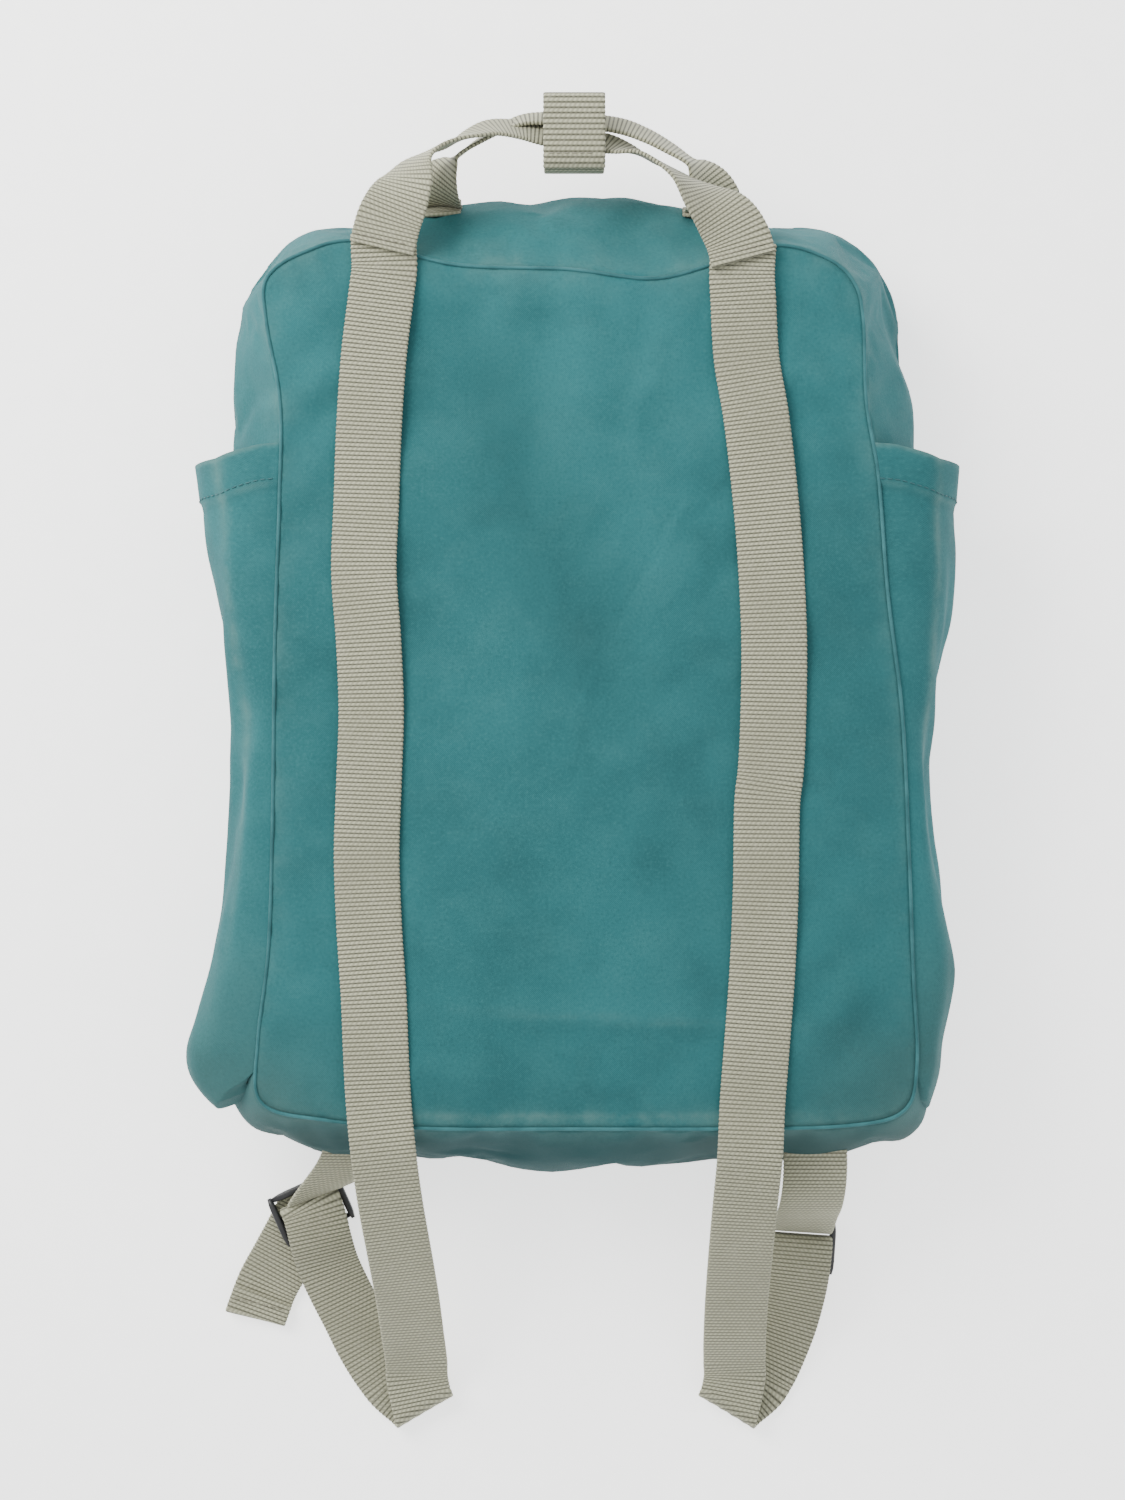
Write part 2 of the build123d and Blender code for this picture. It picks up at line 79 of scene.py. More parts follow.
# ---- shapes of the bag, listed clockwise from the top middle ------------------------------------
# Each row: back seam x, y, z; then the widest line of the side wall x, y, z.
BODY_OUTLINE = [
    ((-2, 178, 79), (-4, 215, 46)),
    ((34, 174, 79), (30, 212, 46)),
    ((60, 180, 80), (58, 206, 48)),
    ((86, 188, 80), (90, 199, 50)),
    ((108, 183, 78), (114, 195, 50)),
    ((120, 173, 76), (129, 184, 48)),
    ((124, 157, 76), (136, 163, 47)),
    ((125, 122, 78), (147, 128, 46)),
    ((130, 90, 79), (149, 95, 46)),
    ((134, 40, 79), (149, 40, 46)),
    ((140, -10, 79), (149, -10, 46)),
    ((143, -68, 78), (150, -65, 46)),
    ((145, -120, 77), (152, -118, 46)),
    ((147, -160, 74), (154, -160, 45)),
    ((142, -180, 71), (151, -190, 44)),
    ((118, -186, 74), (124, -203, 46)),
    ((65, -187, 77), (64, -205, 47)),
    ((0, -187, 77), (-2, -209, 47)),
    ((-60, -187, 76), (-62, -203, 47)),
    ((-105, -184, 72), (-112, -199, 45)),
    ((-133, -177, 68), (-143, -189, 43)),
    ((-134, -150, 72), (-152, -158, 44)),
    ((-129, -110, 76), (-147, -112, 46)),
    ((-127, -50, 78), (-141, -50, 46)),
    ((-126, 20, 79), (-141, 15, 46)),
    ((-124, 85, 79), (-147, 88, 46)),
    ((-124, 122, 78), (-147, 125, 46)),
    ((-130, 156, 76), (-142, 160, 47)),
    ((-130, 175, 75), (-136, 183, 48)),
    ((-113, 186, 77), (-118, 196, 50)),
    ((-90, 190, 79), (-94, 200, 50)),
    ((-50, 180, 79), (-50, 211, 47)),
]
ZIP_HALF = (144.5, 205.0, 46.0)      # half width, half length and corner radius along the zip
FRONT_HALF = (133.0, 193.0, 44.0)    # the seam round the front panel
REAR_EDGE_Z = 31.0
FRONT_EDGE_Z = 22.0
FRONT_SEAM_Z = 5.0
AROUND = 320                         # points round the bag
PANEL_CENTRE = (4.0, -4.0)
WEBBING_WIDTH = 28.0
RIB = 1.8                            # spacing of the webbing's cross ribs
ACROSS = (1, 0, 0)                   # webbing that lies square to the bag
STRAP_LIFT = 1.3                     # middle of a shoulder strap above the back panel
HEM = 17.0                           # depth of the side pockets' hem
FRONT_TAB_X = 62.0                   # sewn ends of the handle's front loop, from the middle
CANVAS_THICKNESS = 1.2
PANEL_HEIGHT = 75.0                  # height taken where no back panel lies above
OVERHEAD = 200.0                     # height from which surfaces are looked for
ZIP_CENTRE_Z = 26.5
COIL_PITCH = 1.7
COIL_INSET = 0.9                     # of the zip coils from the zip line
FLOOR_REACH = 4000                   # from the middle of the floor to its edges
CAMERA_LENS = 62.3
CAMERA_PLACE = (-0.004, -0.026, 1.180)    # metres


# ---- small helpers -------------------------------------------------------------------------------
def smooth_step(value, low, high):
    t = np.clip((np.asarray(value, float) - low) / (high - low), 0, 1)
    return t * t * (3 - 2 * t)


def bump(value, centre, width):
    return np.exp(-((np.asarray(value, float) - centre) / width) ** 2)


def unit(vectors):
    """Vectors scaled to length 1: one vector, or one in each row."""
    vectors = np.asarray(vectors, float)
    return vectors / np.linalg.norm(vectors, axis=-1, keepdims=True)


def running_length(points):
    """Distance along a line at each of its points."""
    return np.concatenate([[0], np.cumsum(np.linalg.norm(np.diff(points, axis=0), axis=1))])


def at_height(xy, z):
    """Points seen from above, lifted to one height."""
    return np.column_stack([xy, np.full(len(xy), z)])


def between_four(p0, p1, p2, p3, f):
    """Catmull-Rom point a share f of the way from p1 to p2."""
    return 0.5 * (2 * p1 + (p2 - p0) * f + (2 * p0 - 5 * p1 + 4 * p2 - p3) * f ** 2
                  + (3 * p1 - p0 - 3 * p2 + p3) * f ** 3)


def bent_ring(start, pull, end, share):
    """Ring a share of the way from start to end, drawn towards pull in between."""
    return (1 - share) ** 2 * start + 2 * share * (1 - share) * pull + share ** 2 * end


def curve_through(points, count, closed=False):
    """Catmull-Rom curve through points, sampled evenly in each point's own interval."""
    points = np.asarray(points, float)
    total = len(points)
    spans = total if closed else total - 1
    t = np.linspace(0, spans, count, endpoint=not closed)
    i = np.minimum(t.astype(int), spans - 1)
    f = (t - i)[:, None]

    def pick(index):
        if closed:
            return points[index % total]
        return points[np.clip(index, 0, total - 1)]

    return between_four(pick(i - 1), pick(i), pick(i + 1), pick(i + 2), f)


def even(points, step):
    """The same line with evenly spaced points."""
    points = np.asarray(points, float)
    along = running_length(points[:, :3])
    count = max(2, int(round(along[-1] / step)) + 1)
    target = np.linspace(0, along[-1], count)
    return np.stack([np.interp(target, along, points[:, k]) for k in range(points.shape[1])], 1)


def rounded_rect(directions, half):
    """Where rays from the middle leave a rounded rectangle."""
    half_x, half_y, radius = half
    result = []
    for dx, dy in directions:
        length = math.hypot(dx, dy)
        dx, dy = dx / length, dy / length
        low, high = 0.0, half_x + half_y
        for _ in range(40):
            middle = (low + high) / 2
            qx = abs(dx * middle) - (half_x - radius)
            qy = abs(dy * middle) - (half_y - radius)
            outside = math.hypot(max(qx, 0), max(qy, 0)) + min(max(qx, qy), 0) - radius
            if outside > 0:
                high = middle
            else:
                low = middle
        result.append((dx * low, dy * low))
    return np.array(result)


def noise_at(points, scale, seed):
    """Smooth noise from -1 to 1 at points, with features about scale millimetres across."""
    shift = Vector((seed * 13.7, seed * 7.1, seed * 3.3))
    return np.array([noise.noise(Vector(p) / scale + shift) for p in points])


def new_piece(name, corners, faces):
    """Smooth-shaded object; corners are in millimetres."""
    mesh = bpy.data.meshes.new(name)
    mesh.from_pydata((np.asarray(corners) * MM).tolist(), [], faces)
    mesh.polygons.foreach_set("use_smooth", [True] * len(mesh.polygons))
    piece = bpy.data.objects.new(name, mesh)
    bpy.context.scene.collection.objects.link(piece)
    return piece


def tube_faces(base, rows, sides):
    """Faces of a closed tube whose rings of corners start at number base."""
    faces = []
    for ring in range(base, base + (rows - 1) * sides, sides):
        for q in range(sides):
            n = (q + 1) % sides
            faces.append((ring + q, ring + n, ring + sides + n, ring + sides + q))
    faces.append(tuple(range(base, base + sides))[::-1])
    faces.append(tuple(range(base + (rows - 1) * sides, base + rows * sides)))
    return faces


def mesh_from_grid(name, grid, wrap=False, caps=False, uv=None, marks=None):
    """Quad mesh from rows of points; wrap joins the last column to the first."""
    grid = np.asarray(grid, float)
    rows, columns = grid.shape[:2]
    last = columns if wrap else columns - 1
    faces = []
    for r in range(rows - 1):
        for c in range(last):
            n = (c + 1) % columns
            row, below = r * columns, (r + 1) * columns
            faces.append((row + c, row + n, below + n, below + c))
    if caps:
        faces.append(tuple(range(columns))[::-1])
        faces.append(tuple((rows - 1) * columns + c for c in range(columns)))
    piece = new_piece(name, grid.reshape(-1, 3), faces)
    mesh = piece.data
    if uv is not None:
        uv = np.asarray(uv, float)
        layer = mesh.uv_layers.new(name="UVMap")
        flat = []
        end = uv.shape[1] - 1
        for r in range(rows - 1):
            for c in range(last):
                n = min(c + 1, end)
                flat += [uv[r, c], uv[r, n], uv[r + 1, n], uv[r + 1, c]]
        if caps:
            flat += [uv[0, min(c, end)] for c in range(columns)][::-1]
            flat += [uv[-1, min(c, end)] for c in range(columns)]
        layer.data.foreach_set("uv", np.array(flat, np.float32).ravel())
    for mark, values in (marks or {}).items():
        attribute = mesh.attributes.new(mark, "FLOAT", "POINT")
        attribute.data.foreach_set("value", np.asarray(values, np.float32).ravel())
    mesh.update()
    return piece


def apply_modifiers(piece):
    graph = bpy.context.evaluated_depsgraph_get()
    graph.update()
    mesh = bpy.data.meshes.new_from_object(
        piece.evaluated_get(graph), preserve_all_data_layers=True, depsgraph=graph)
    piece.modifiers.clear()
    old = piece.data
    piece.data = mesh
    bpy.data.meshes.remove(old)
    return piece


def finish_piece(piece, body, material, replaced=()):
    if piece.data.materials:
        piece.data.materials[0] = material
    else:
        piece.data.materials.append(material)
    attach(piece, body)
    if replaced:
        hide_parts(*replaced)
    return piece


def finish_blended(piece, material, replaced):
    """Gives the piece its material, hides the parts it replaces and bakes its place into its mesh."""
    piece.data.materials.append(material)
    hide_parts(*replaced)
    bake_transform(piece)


def plain_marks(shape, wear, darkening, shade):
    """The same wear, darkening and shade all over."""
    return {"wear": np.full(shape, wear), "darkening": np.full(shape, darkening), "shade": np.full(shape, shade)}


# ---- materials -----------------------------------------------------------------------------------
class Nodes:
    """Short way to write a node tree."""

    def __init__(self, name):
        self.material = bpy.data.materials.new(name)
        self.material.use_nodes = True
        self.tree = self.material.node_tree
        self.shader = self.tree.nodes["Principled BSDF"]

    def add(self, kind, inputs=None, **settings):
        node = self.tree.nodes.new(kind)
        for key, value in settings.items():
            setattr(node, key, value)
        for key, value in (inputs or {}).items():
            self.set(node.inputs[key], value)
        return node

    def set(self, socket, value):
        if isinstance(value, bpy.types.NodeSocket):
            self.tree.links.new(value, socket)
        else:
            socket.default_value = value

    def math(self, operation, a, b=0.0, clamp=False):
        node = self.add("ShaderNodeMath", operation=operation, use_clamp=clamp)
        self.set(node.inputs[0], a)
        self.set(node.inputs[1], b)
        return node.outputs[0]

    def mix(self, share, a, b):
        node = self.add("ShaderNodeMix", data_type="RGBA")
        self.set(node.inputs[0], share)
        self.set(node.inputs[6], a)
        self.set(node.inputs[7], b)
        return node.outputs[2]

    def noise(self, vector, scale, detail=3.0, roughness=0.55):
        node = self.add("ShaderNodeTexNoise", {"Scale": scale, "Detail": detail, "Roughness": roughness})
        self.set(node.inputs["Vector"], vector)
        return node.outputs["Fac"]

    def ramp(self, value, low, high):
        node = self.add("ShaderNodeMapRange", {"From Min": low, "From Max": high}, clamp=True)
        self.set(node.inputs["Value"], value)
        return node.outputs["Result"]

    def wave(self, value, period):
        """Sine of a length, 0 to 1."""
        turn = self.math("MULTIPLY", value, 2 * math.pi / period)
        return self.math("ADD", self.math("MULTIPLY", self.math("SINE", turn), 0.5), 0.5)

    def bump(self, height, strength, distance):
        node = self.add("ShaderNodeBump", {"Strength": strength, "Distance": distance})
        self.set(node.inputs["Height"], height)
        self.set(self.shader.inputs["Normal"], node.outputs["Normal"])

    def attribute(self, name):
        return self.add("ShaderNodeAttribute", attribute_name=name).outputs["Fac"]

    def uv(self):
        node = self.add("ShaderNodeTexCoord")
        split = self.add("ShaderNodeSeparateXYZ", {"Vector": node.outputs["UV"]})
        return node.outputs["UV"], split.outputs["X"], split.outputs["Y"], node.outputs["Object"]


def canvas_material(name, base, faded, dark):
    """Washed cotton canvas: fine twill, blotchy fading, pale rubbed edges and greyish darkening.
    The UV map is in millimetres.  Marks painted on the mesh give its wear, its darkening and its painted
    shade."""
    def darker(share):
        return (*[c * share for c in dark], 1)

    m = Nodes(name)
    uv, u, v, place = m.uv()
    broad = m.noise(place, 9.0, 4.0)
    fine = m.noise(place, 60.0, 5.0, 0.65)
    blotches = m.noise(place, 24.0, 4.0, 0.6)
    specks = m.noise(uv, 0.7, 4.0, 0.7)
    colour = m.mix(m.ramp(broad, 0.38, 0.62), (*dark, 1), (*base, 1))
    colour = m.mix(m.math("MULTIPLY", m.ramp(blotches, 0.50, 0.30), 0.45), colour, darker(0.72))
    colour = m.mix(m.math("MULTIPLY", m.ramp(fine, 0.45, 0.8), 0.28), colour, (*faded, 1))
    colour = m.mix(m.math("MULTIPLY", m.ramp(specks, 0.52, 0.74), 0.42), colour, (*faded, 1))
    colour = m.mix(m.math("MULTIPLY", m.ramp(specks, 0.48, 0.28), 0.50), colour, darker(0.66))
    colour = m.mix(m.attribute("shade"), colour, darker(0.42))
    worn = m.math("MULTIPLY", m.attribute("wear"), m.ramp(fine, 0.30, 0.62))
    colour = m.mix(m.math("MULTIPLY", worn, 0.75, True), colour, (0.10, 0.20, 0.185, 1))
    # Patchy greyish darkening where the mark is painted.
    darkening = m.math("MULTIPLY", m.attribute("darkening"), m.ramp(broad, 0.35, 0.65))
    colour = m.mix(m.math("MULTIPLY", darkening, 0.55, True), colour, (0.045, 0.075, 0.065, 1))
    m.set(m.shader.inputs["Base Color"], colour)
    twill = m.wave(m.math("ADD", u, v), 0.85)
    cross = m.wave(m.math("SUBTRACT", u, v), 0.62)
    weave = m.math("ADD", twill, m.math("MULTIPLY", cross, 0.55))
    weave = m.math("ADD", weave, m.math("MULTIPLY", fine, 1.4))
    m.bump(weave, 0.22, 0.0003)
    m.shader.inputs["Roughness"].default_value = 0.86
    m.shader.inputs["Specular IOR Level"].default_value = 0.25
    m.shader.inputs["Sheen Weight"].default_value = 0.03
    m.shader.inputs["Sheen Roughness"].default_value = 0.5
    return m.material


def webbing_material(name, light, dark, rib):
    """Flat cotton webbing with cross ribs; UV in millimetres, v along the length."""
    m = Nodes(name)
    _, u, v, place = m.uv()
    ribs = m.wave(v, rib)
    # Painted light and shade of the ribs: the rib tops are lighter and the grooves between them near black.
    rib_light_and_shade = m.ramp(ribs, 0.0, 0.62)
    threads = m.wave(m.math("ADD", u, m.math("MULTIPLY", v, 1.0 / rib)), 2.0)
    fuzz = m.noise(place, 420.0, 3.0, 0.7)
    broad = m.noise(place, 22.0, 3.0)
    colour = m.mix(rib_light_and_shade, (*[c * 0.26 for c in dark], 1), (*light, 1))
    colour = m.mix(m.math("MULTIPLY", threads, 0.55), colour, (*dark, 1))
    colour = m.mix(m.math("MULTIPLY", m.ramp(broad, 0.4, 0.7), 0.35), colour, (*dark, 1))
    colour = m.mix(m.math("MULTIPLY", m.ramp(fuzz, 0.5, 0.8), 0.25), colour, (0.42, 0.41, 0.33, 1))
    m.set(m.shader.inputs["Base Color"], colour)
    height = m.math("ADD", m.math("MULTIPLY", threads, 0.8), m.math("MULTIPLY", fuzz, 0.8))
    m.bump(height, 0.45, 0.0003)
    m.shader.inputs["Roughness"].default_value = 0.78
    m.shader.inputs["Specular IOR Level"].default_value = 0.3
    m.shader.inputs["Sheen Weight"].default_value = 0.12
    return m.material


def simple_material(name, colour, roughness, grain_scale, grain, variation=0.12, metal=0.0):
    """Moulded or metal part: slight colour variation and a fine surface grain."""
    m = Nodes(name)
    place = m.add("ShaderNodeTexCoord").outputs["Object"]
    broad = m.noise(place, 80.0, 3.0)
    fine = m.noise(place, grain_scale, 4.0, 0.6)
    pale = tuple(min(1.0, c * (1 + 3 * variation) + 0.01) for c in colour)
    m.set(m.shader.inputs["Base Color"], m.mix(m.ramp(broad, 0.35, 0.7), (*colour, 1), (*pale, 1)))
    rough = m.math("ADD", m.math("MULTIPLY", fine, 0.2), roughness - 0.1)
    m.set(m.shader.inputs["Roughness"], rough)
    m.bump(fine, grain, 0.0002)
    m.shader.inputs["Metallic"].default_value = metal
    return m.material


CANVAS = canvas_material("canvas_teal", (0.020, 0.128, 0.138), (0.046, 0.175, 0.180), (0.015, 0.100, 0.108))
# Darker canvas colour for the seam ridge: painted shade of the groove along the seam.
CANVAS_SEAM_SHADE = simple_material("canvas_seam_shade", (0.015, 0.086, 0.093), 0.9, 1500.0, 0.5, variation=0.2)
LINING = simple_material("lining_teal", (0.035, 0.150, 0.160), 0.8, 900.0, 0.4)
WEBBING = webbing_material("webbing_taupe", (0.440, 0.436, 0.305), (0.168, 0.166, 0.114), RIB)
THREAD = simple_material("thread_teal", (0.016, 0.080, 0.088), 0.7, 1500.0, 0.3)
THREAD_TAUPE = simple_material("thread_taupe", (0.20, 0.19, 0.14), 0.7, 1500.0, 0.3)
PLASTIC = simple_material("plastic_black", (0.012, 0.012, 0.013), 0.42, 700.0, 0.25)
ZIP_METAL = simple_material("zip_enamel", (0.030, 0.030, 0.032), 0.32, 500.0, 0.12, metal=0.6)
ZIP_TAPE = simple_material("zip_tape", (0.022, 0.100, 0.110), 0.85, 1800.0, 0.6)
COIL = simple_material("zip_coil", (0.018, 0.075, 0.082), 0.45, 900.0, 0.2)
HOOKS = simple_material("hook_and_loop", (0.05, 0.06, 0.06), 0.95, 1600.0, 0.9)
FOAM = simple_material("foam_white", (0.55, 0.54, 0.50), 0.95, 1200.0, 0.6)
FLOOR = simple_material("floor_paper", (0.92, 0.92, 0.91), 0.6, 40.0, 0.02, variation=0.01)
FLOOR.node_tree.nodes["Principled BSDF"].inputs["Emission Color"].default_value = (1, 1, 1, 1)
FLOOR.node_tree.nodes["Principled BSDF"].inputs["Emission Strength"].default_value = 1.5


# ---- camera, light, floor ------------------------------------------------------------------------
def build_stage():
    camera_data = bpy.data.cameras.new("camera")
    camera_data.lens = CAMERA_LENS
    camera_data.sensor_width = 36.0
    camera_data.clip_end = 50.0
    camera = bpy.data.objects.new("camera", camera_data)
    camera.location = CAMERA_PLACE
    bpy.context.scene.collection.objects.link(camera)
    bpy.context.scene.camera = camera

    world = bpy.data.worlds.new("studio")
    world.use_nodes = True
    background = world.node_tree.nodes["Background"]
    background.inputs["Color"].default_value = (0.97, 0.985, 1.0, 1)
    background.inputs["Strength"].default_value = 1.16
    bpy.context.scene.world = world

    def area(name, place, target, size, power, colour=(1, 1, 1)):
        data = bpy.data.lights.new(name, "AREA")
        data.size = size
        data.energy = power
        data.color = colour
        light = bpy.data.objects.new(name, data)
        light.location = place
        aim = Vector(target) - Vector(place)
        light.rotation_euler = aim.to_track_quat("-Z", "Y").to_euler()
        bpy.context.scene.collection.objects.link(light)

    area("window_left", (-0.85, 0.75, 0.95), (0, 0, 0), 0.8, 28.0, (1.0, 0.99, 0.96))
    area("fill_right", (1.7, -0.7, 1.7), (0, 0, 0), 1.6, 6.0)

    ends = (-FLOOR_REACH, FLOOR_REACH)
    floor = mesh_from_grid("floor", [[(x, y, 0) for x in ends] for y in ends])
    floor.data.materials.append(FLOOR)


# ---- bag body ------------------------------------------------------------------------------------
def panel_relief(x, y):
    """Soft hollows and folds of the slack back panel, in millimetres."""
    dent = -2.2 * bump((x + 12) * 0.93 + (y - 70) * 0.36, 0, 26) * smooth_step(y, -40, 60)
    fold = 1.6 * bump(x - 8 + 0.1 * y, 12, 9) * smooth_step(y, 60, 150)
    fold += 1.3 * bump(x + 26, 0, 8) * smooth_step(y, 90, 160)
    corner = 1.5 * np.sin((y + 0.8 * np.abs(x)) / 5.5) * bump(np.abs(x), 108, 11) * bump(y, 128, 32)
    corner += 1.2 * np.sin((y - 0.7 * np.abs(x)) / 6.0) * bump(np.abs(x), 112, 14) * bump(y, -140, 30)
    low = 1.5 * bump(y + 139 + 0.05 * x, 0, 5) * bump(x, 15, 55)
    low += 1.2 * bump(y + 168 + 0.08 * x, 0, 6) * bump(x, -20, 70)
    side = 1.2 * bump(y + 0.45 * x - 30, 0, 12) * smooth_step(x, 60, 110)
    side += 1.4 * bump(y - 0.5 * x + 150, 0, 10) * smooth_step(-x, 60, 110)
    return 1.35 * (dent + fold + corner + low + side)


def body_rings():
    seam = curve_through([row[0] for row in BODY_OUTLINE], AROUND, closed=True)
    wide = curve_through([row[1] for row in BODY_OUTLINE], AROUND, closed=True)
    zip_xy = rounded_rect(wide[:, :2], ZIP_HALF)
    front_xy = rounded_rect(wide[:, :2], FRONT_HALF)
    return seam, wide, zip_xy, front_xy


SEAM, WIDE, ZIP_XY, FRONT_XY = body_rings()


def side_wall_rings(count, relief_share):
    """Rings from the back seam over the widest line to the rear edge of the zip."""
    edge = at_height(ZIP_XY, REAR_EDGE_Z)
    pull = WIDE * 2 - 0.5 * SEAM - 0.5 * edge
    rings = np.array([bent_ring(SEAM, pull, edge, share) for share in np.linspace(0, 1, count)])
    # Upright folds of the slack gusset, strongest half way down.
    for k, ring in enumerate(rings):
        strength = math.sin(math.pi * k / (count - 1)) ** 0.8 * relief_share
        outward = unit(ring[:, :2] - np.array(PANEL_CENTRE))
        sample = ring * np.array([1.0, 1.0, 0.35])
        wave = 2.4 * noise_at(sample, 34.0, 1) + 1.2 * noise_at(sample, 15.0, 2)
        ring[:, :2] += outward * (wave * strength)[:, None]
    return rings


def panel_rings(count):
    """Rings from the middle of the back panel out to its seam."""
    middle = np.array([*PANEL_CENTRE, 0])
    rings = []
    for share in np.linspace(0.02, 1, count):
        ring = middle + (SEAM - middle) * share
        level = 80.0 + (SEAM[:, 2] - 80.0) * share ** 5
        x, y = ring[:, 0], ring[:, 1]
        inside = 1 - share ** 10
        flat = at_height(ring[:, :2], 0.0)
        slack = 1.1 * noise_at(flat, 62.0, 5) + 0.55 * noise_at(flat, 25.0, 6)
        ring[:, 2] = level + (panel_relief(x, y) + slack) * inside - 0.6 * inside
        rings.append(ring)
    return np.array(rings)


def ring_uv(rings):
    """UV in millimetres: u round the bag, v across the rings."""
    loop = np.concatenate([rings[-1], rings[-1][:1]])
    grid = np.zeros((len(rings), len(loop), 2))
    grid[:, :, 0] = running_length(loop)[None, :]
    grid[:, :, 1] = running_length(rings[:, 0])[:, None]
    return grid


def flat_uv(rings):
    """UV in millimetres seen from above."""
    closed = np.concatenate([rings, rings[:, :1]], 1)
    return closed[:, :, :2]


def settle_cloth(piece, pinned, pressure, grow, cap, frames=20):
    """Cloth simulation of a sewn panel held at pinned vertices; moves are capped, then applied."""
    rest = np.array([v.co for v in piece.data.vertices])
    group = piece.vertex_groups.new(name="held")
    group.add([int(i) for i in np.nonzero(pinned)[0]], 1.0, "REPLACE")
    cloth = piece.modifiers.new("cloth", "CLOTH")
    settings = cloth.settings
    settings.quality = 6
    settings.mass = 0.3
    settings.tension_stiffness = 25
    settings.compression_stiffness = 25
    settings.bending_stiffness = 0.6
    settings.use_pressure = True
    settings.uniform_pressure_force = pressure
    settings.shrink_min = -grow
    settings.vertex_group_mass = "held"
    settings.effector_weights.gravity = 0
    cloth.collision_settings.use_collision = False
    cloth.point_cache.frame_start = 1
    cloth.point_cache.frame_end = frames
    scene = bpy.context.scene
    for number in range(1, frames + 1):
        scene.frame_set(number)
    graph = bpy.context.evaluated_depsgraph_get()
    moved = np.array([v.co for v in piece.evaluated_get(graph).data.vertices])
    piece.modifiers.remove(cloth)
    piece.vertex_groups.clear()
    scene.frame_set(1)
    shift = moved - rest
    length = np.linalg.norm(shift, axis=1)
    limit = cap * MM
    scale = np.where(length > 1e-9, limit * np.tanh(length / limit) / np.maximum(length, 1e-9), 0)
    piece.data.vertices.foreach_set("co", (rest + shift * scale[:, None]).ravel())
    piece.data.update()


def seam_marks(x, y, share_to_seam):
    """Wear along the seam, darker towards the bottom corners."""
    wear = share_to_seam ** 30 * 0.35
    wear = wear + 0.25 * bump(y, -183, 4) * smooth_step(share_to_seam, 0.8, 1.0)
    # Darker towards the bottom corners.
    darkening = smooth_step(-y, 120, 190) * smooth_step(np.abs(x), 70, 140)
    return wear, darkening


def build_back_panel():
    rings = panel_rings(64)
    x, y = rings[:, :, 0], rings[:, :, 1]
    share = np.linspace(0.02, 1, len(rings))[:, None] * np.ones((1, AROUND))
    wear, darkening = seam_marks(x, y, share)
    pale = 0.25 * bump(y + 139 + 0.05 * x, 0, 2) * bump(x, 20, 60)
    pale = pale + 0.5 * bump(y + 182, 0, 1.6) * bump(x, 10, 80)
    shade = 0.35 * bump((x + 12) * 0.93 + (y - 70) * 0.36, 0, 22) * smooth_step(y, -60, 40)
    shade = shade * smooth_step(-y, -190, -120) + 0.16 * smooth_step(x, 10, 60) * bump(y, -20, 130)
    shade = shade + 0.18 * smooth_step(-y, 20, 185)
    marks = {"wear": wear + pale, "darkening": darkening, "shade": shade}
    piece = mesh_from_grid("back_panel_canvas", rings, wrap=True, uv=flat_uv(rings), marks=marks)
    close_ring(piece, 0, AROUND, rings[0].mean(0), first=True)
    pinned = np.zeros(len(piece.data.vertices), bool)
    pinned[(len(rings) - 1) * AROUND: len(rings) * AROUND] = True
    settle_cloth(piece, pinned, 0.25, 0.003, 2.5)
    return piece


def close_ring(piece, base, count, centre, first=False):
    """Fan from a ring of corners to its middle.  The first ring faces the other way."""
    work = bmesh.new()
    work.from_mesh(piece.data)
    layer = work.loops.layers.uv.active
    middle = work.verts.new(Vector(centre) * MM)
    work.verts.ensure_lookup_table()
    for c in range(count):
        pair = (work.verts[base + c], work.verts[base + (c + 1) % count])
        if first:
            pair = pair[::-1]
        face = work.faces.new((*pair, middle))
        face.smooth = True
        for loop in face.loops:
            loop[layer].uv = loop.vert.co.xy / MM
    work.to_mesh(piece.data)
    work.free()


def build_side_wall():
    rings = side_wall_rings(34, 1.0)
    x, y = rings[:, :, 0], rings[:, :, 1]
    down = np.linspace(0, 1, len(rings))[:, None] * np.ones((1, AROUND))
    wear = 0.5 * np.exp(-down * 14)
    # Darker towards the bottom corners and along the bottom edge.
    darkening = smooth_step(-y, 120, 190) * smooth_step(np.abs(x), 60, 130) + 0.2 * smooth_step(-y, 170, 200)
    shade = 0.25 * smooth_step(down, 0.5, 1.0) + 0.85 * smooth_step(-y, 178, 196)
    marks = {"wear": wear, "darkening": np.clip(darkening, 0, 1), "shade": shade}
    piece = mesh_from_grid("side_wall_canvas", rings, wrap=True, uv=ring_uv(rings), marks=marks)
    pinned = np.zeros(len(piece.data.vertices), bool)
    pinned[:AROUND] = True
    pinned[-AROUND:] = True
    settle_cloth(piece, pinned, 0.15, 0.012, 4.0)
    return piece


def thicken(piece, thickness):
    """Fabric thickness, applied."""
    solid = piece.modifiers.new("thickness", "SOLIDIFY")
    solid.thickness = thickness * MM
    solid.offset = -1.0
    apply_modifiers(piece)
    piece.data.polygons.foreach_set("use_smooth", [True] * len(piece.data.polygons))


def tube_along(name, points, radius, closed=False, sides=8, step=2.0):
    """Round cord or piping along a line."""
    points = np.asarray(points, float)
    if closed:
        points = np.concatenate([points, points[:1]])
    points = even(points, step=step)
    if closed:
        points = points[:-1]
        travel = np.roll(points, -1, 0) - np.roll(points, 1, 0)
    else:
        travel = np.gradient(points, axis=0)
    travel = unit(travel)
    side = np.cross(travel, (0, 0, 1.0))
    side /= np.maximum(np.linalg.norm(side, axis=1)[:, None], 1e-6)
    over = np.cross(side, travel)
    angles = np.linspace(0, 2 * math.pi, sides, endpoint=False)
    grid = np.array([
        points + radius * (math.cos(a) * side + math.sin(a) * over) for a in angles
    ]).transpose(1, 0, 2)
    if closed:
        grid = np.concatenate([grid, grid[:1]])
    return mesh_from_grid(name, grid, wrap=True, caps=not closed)


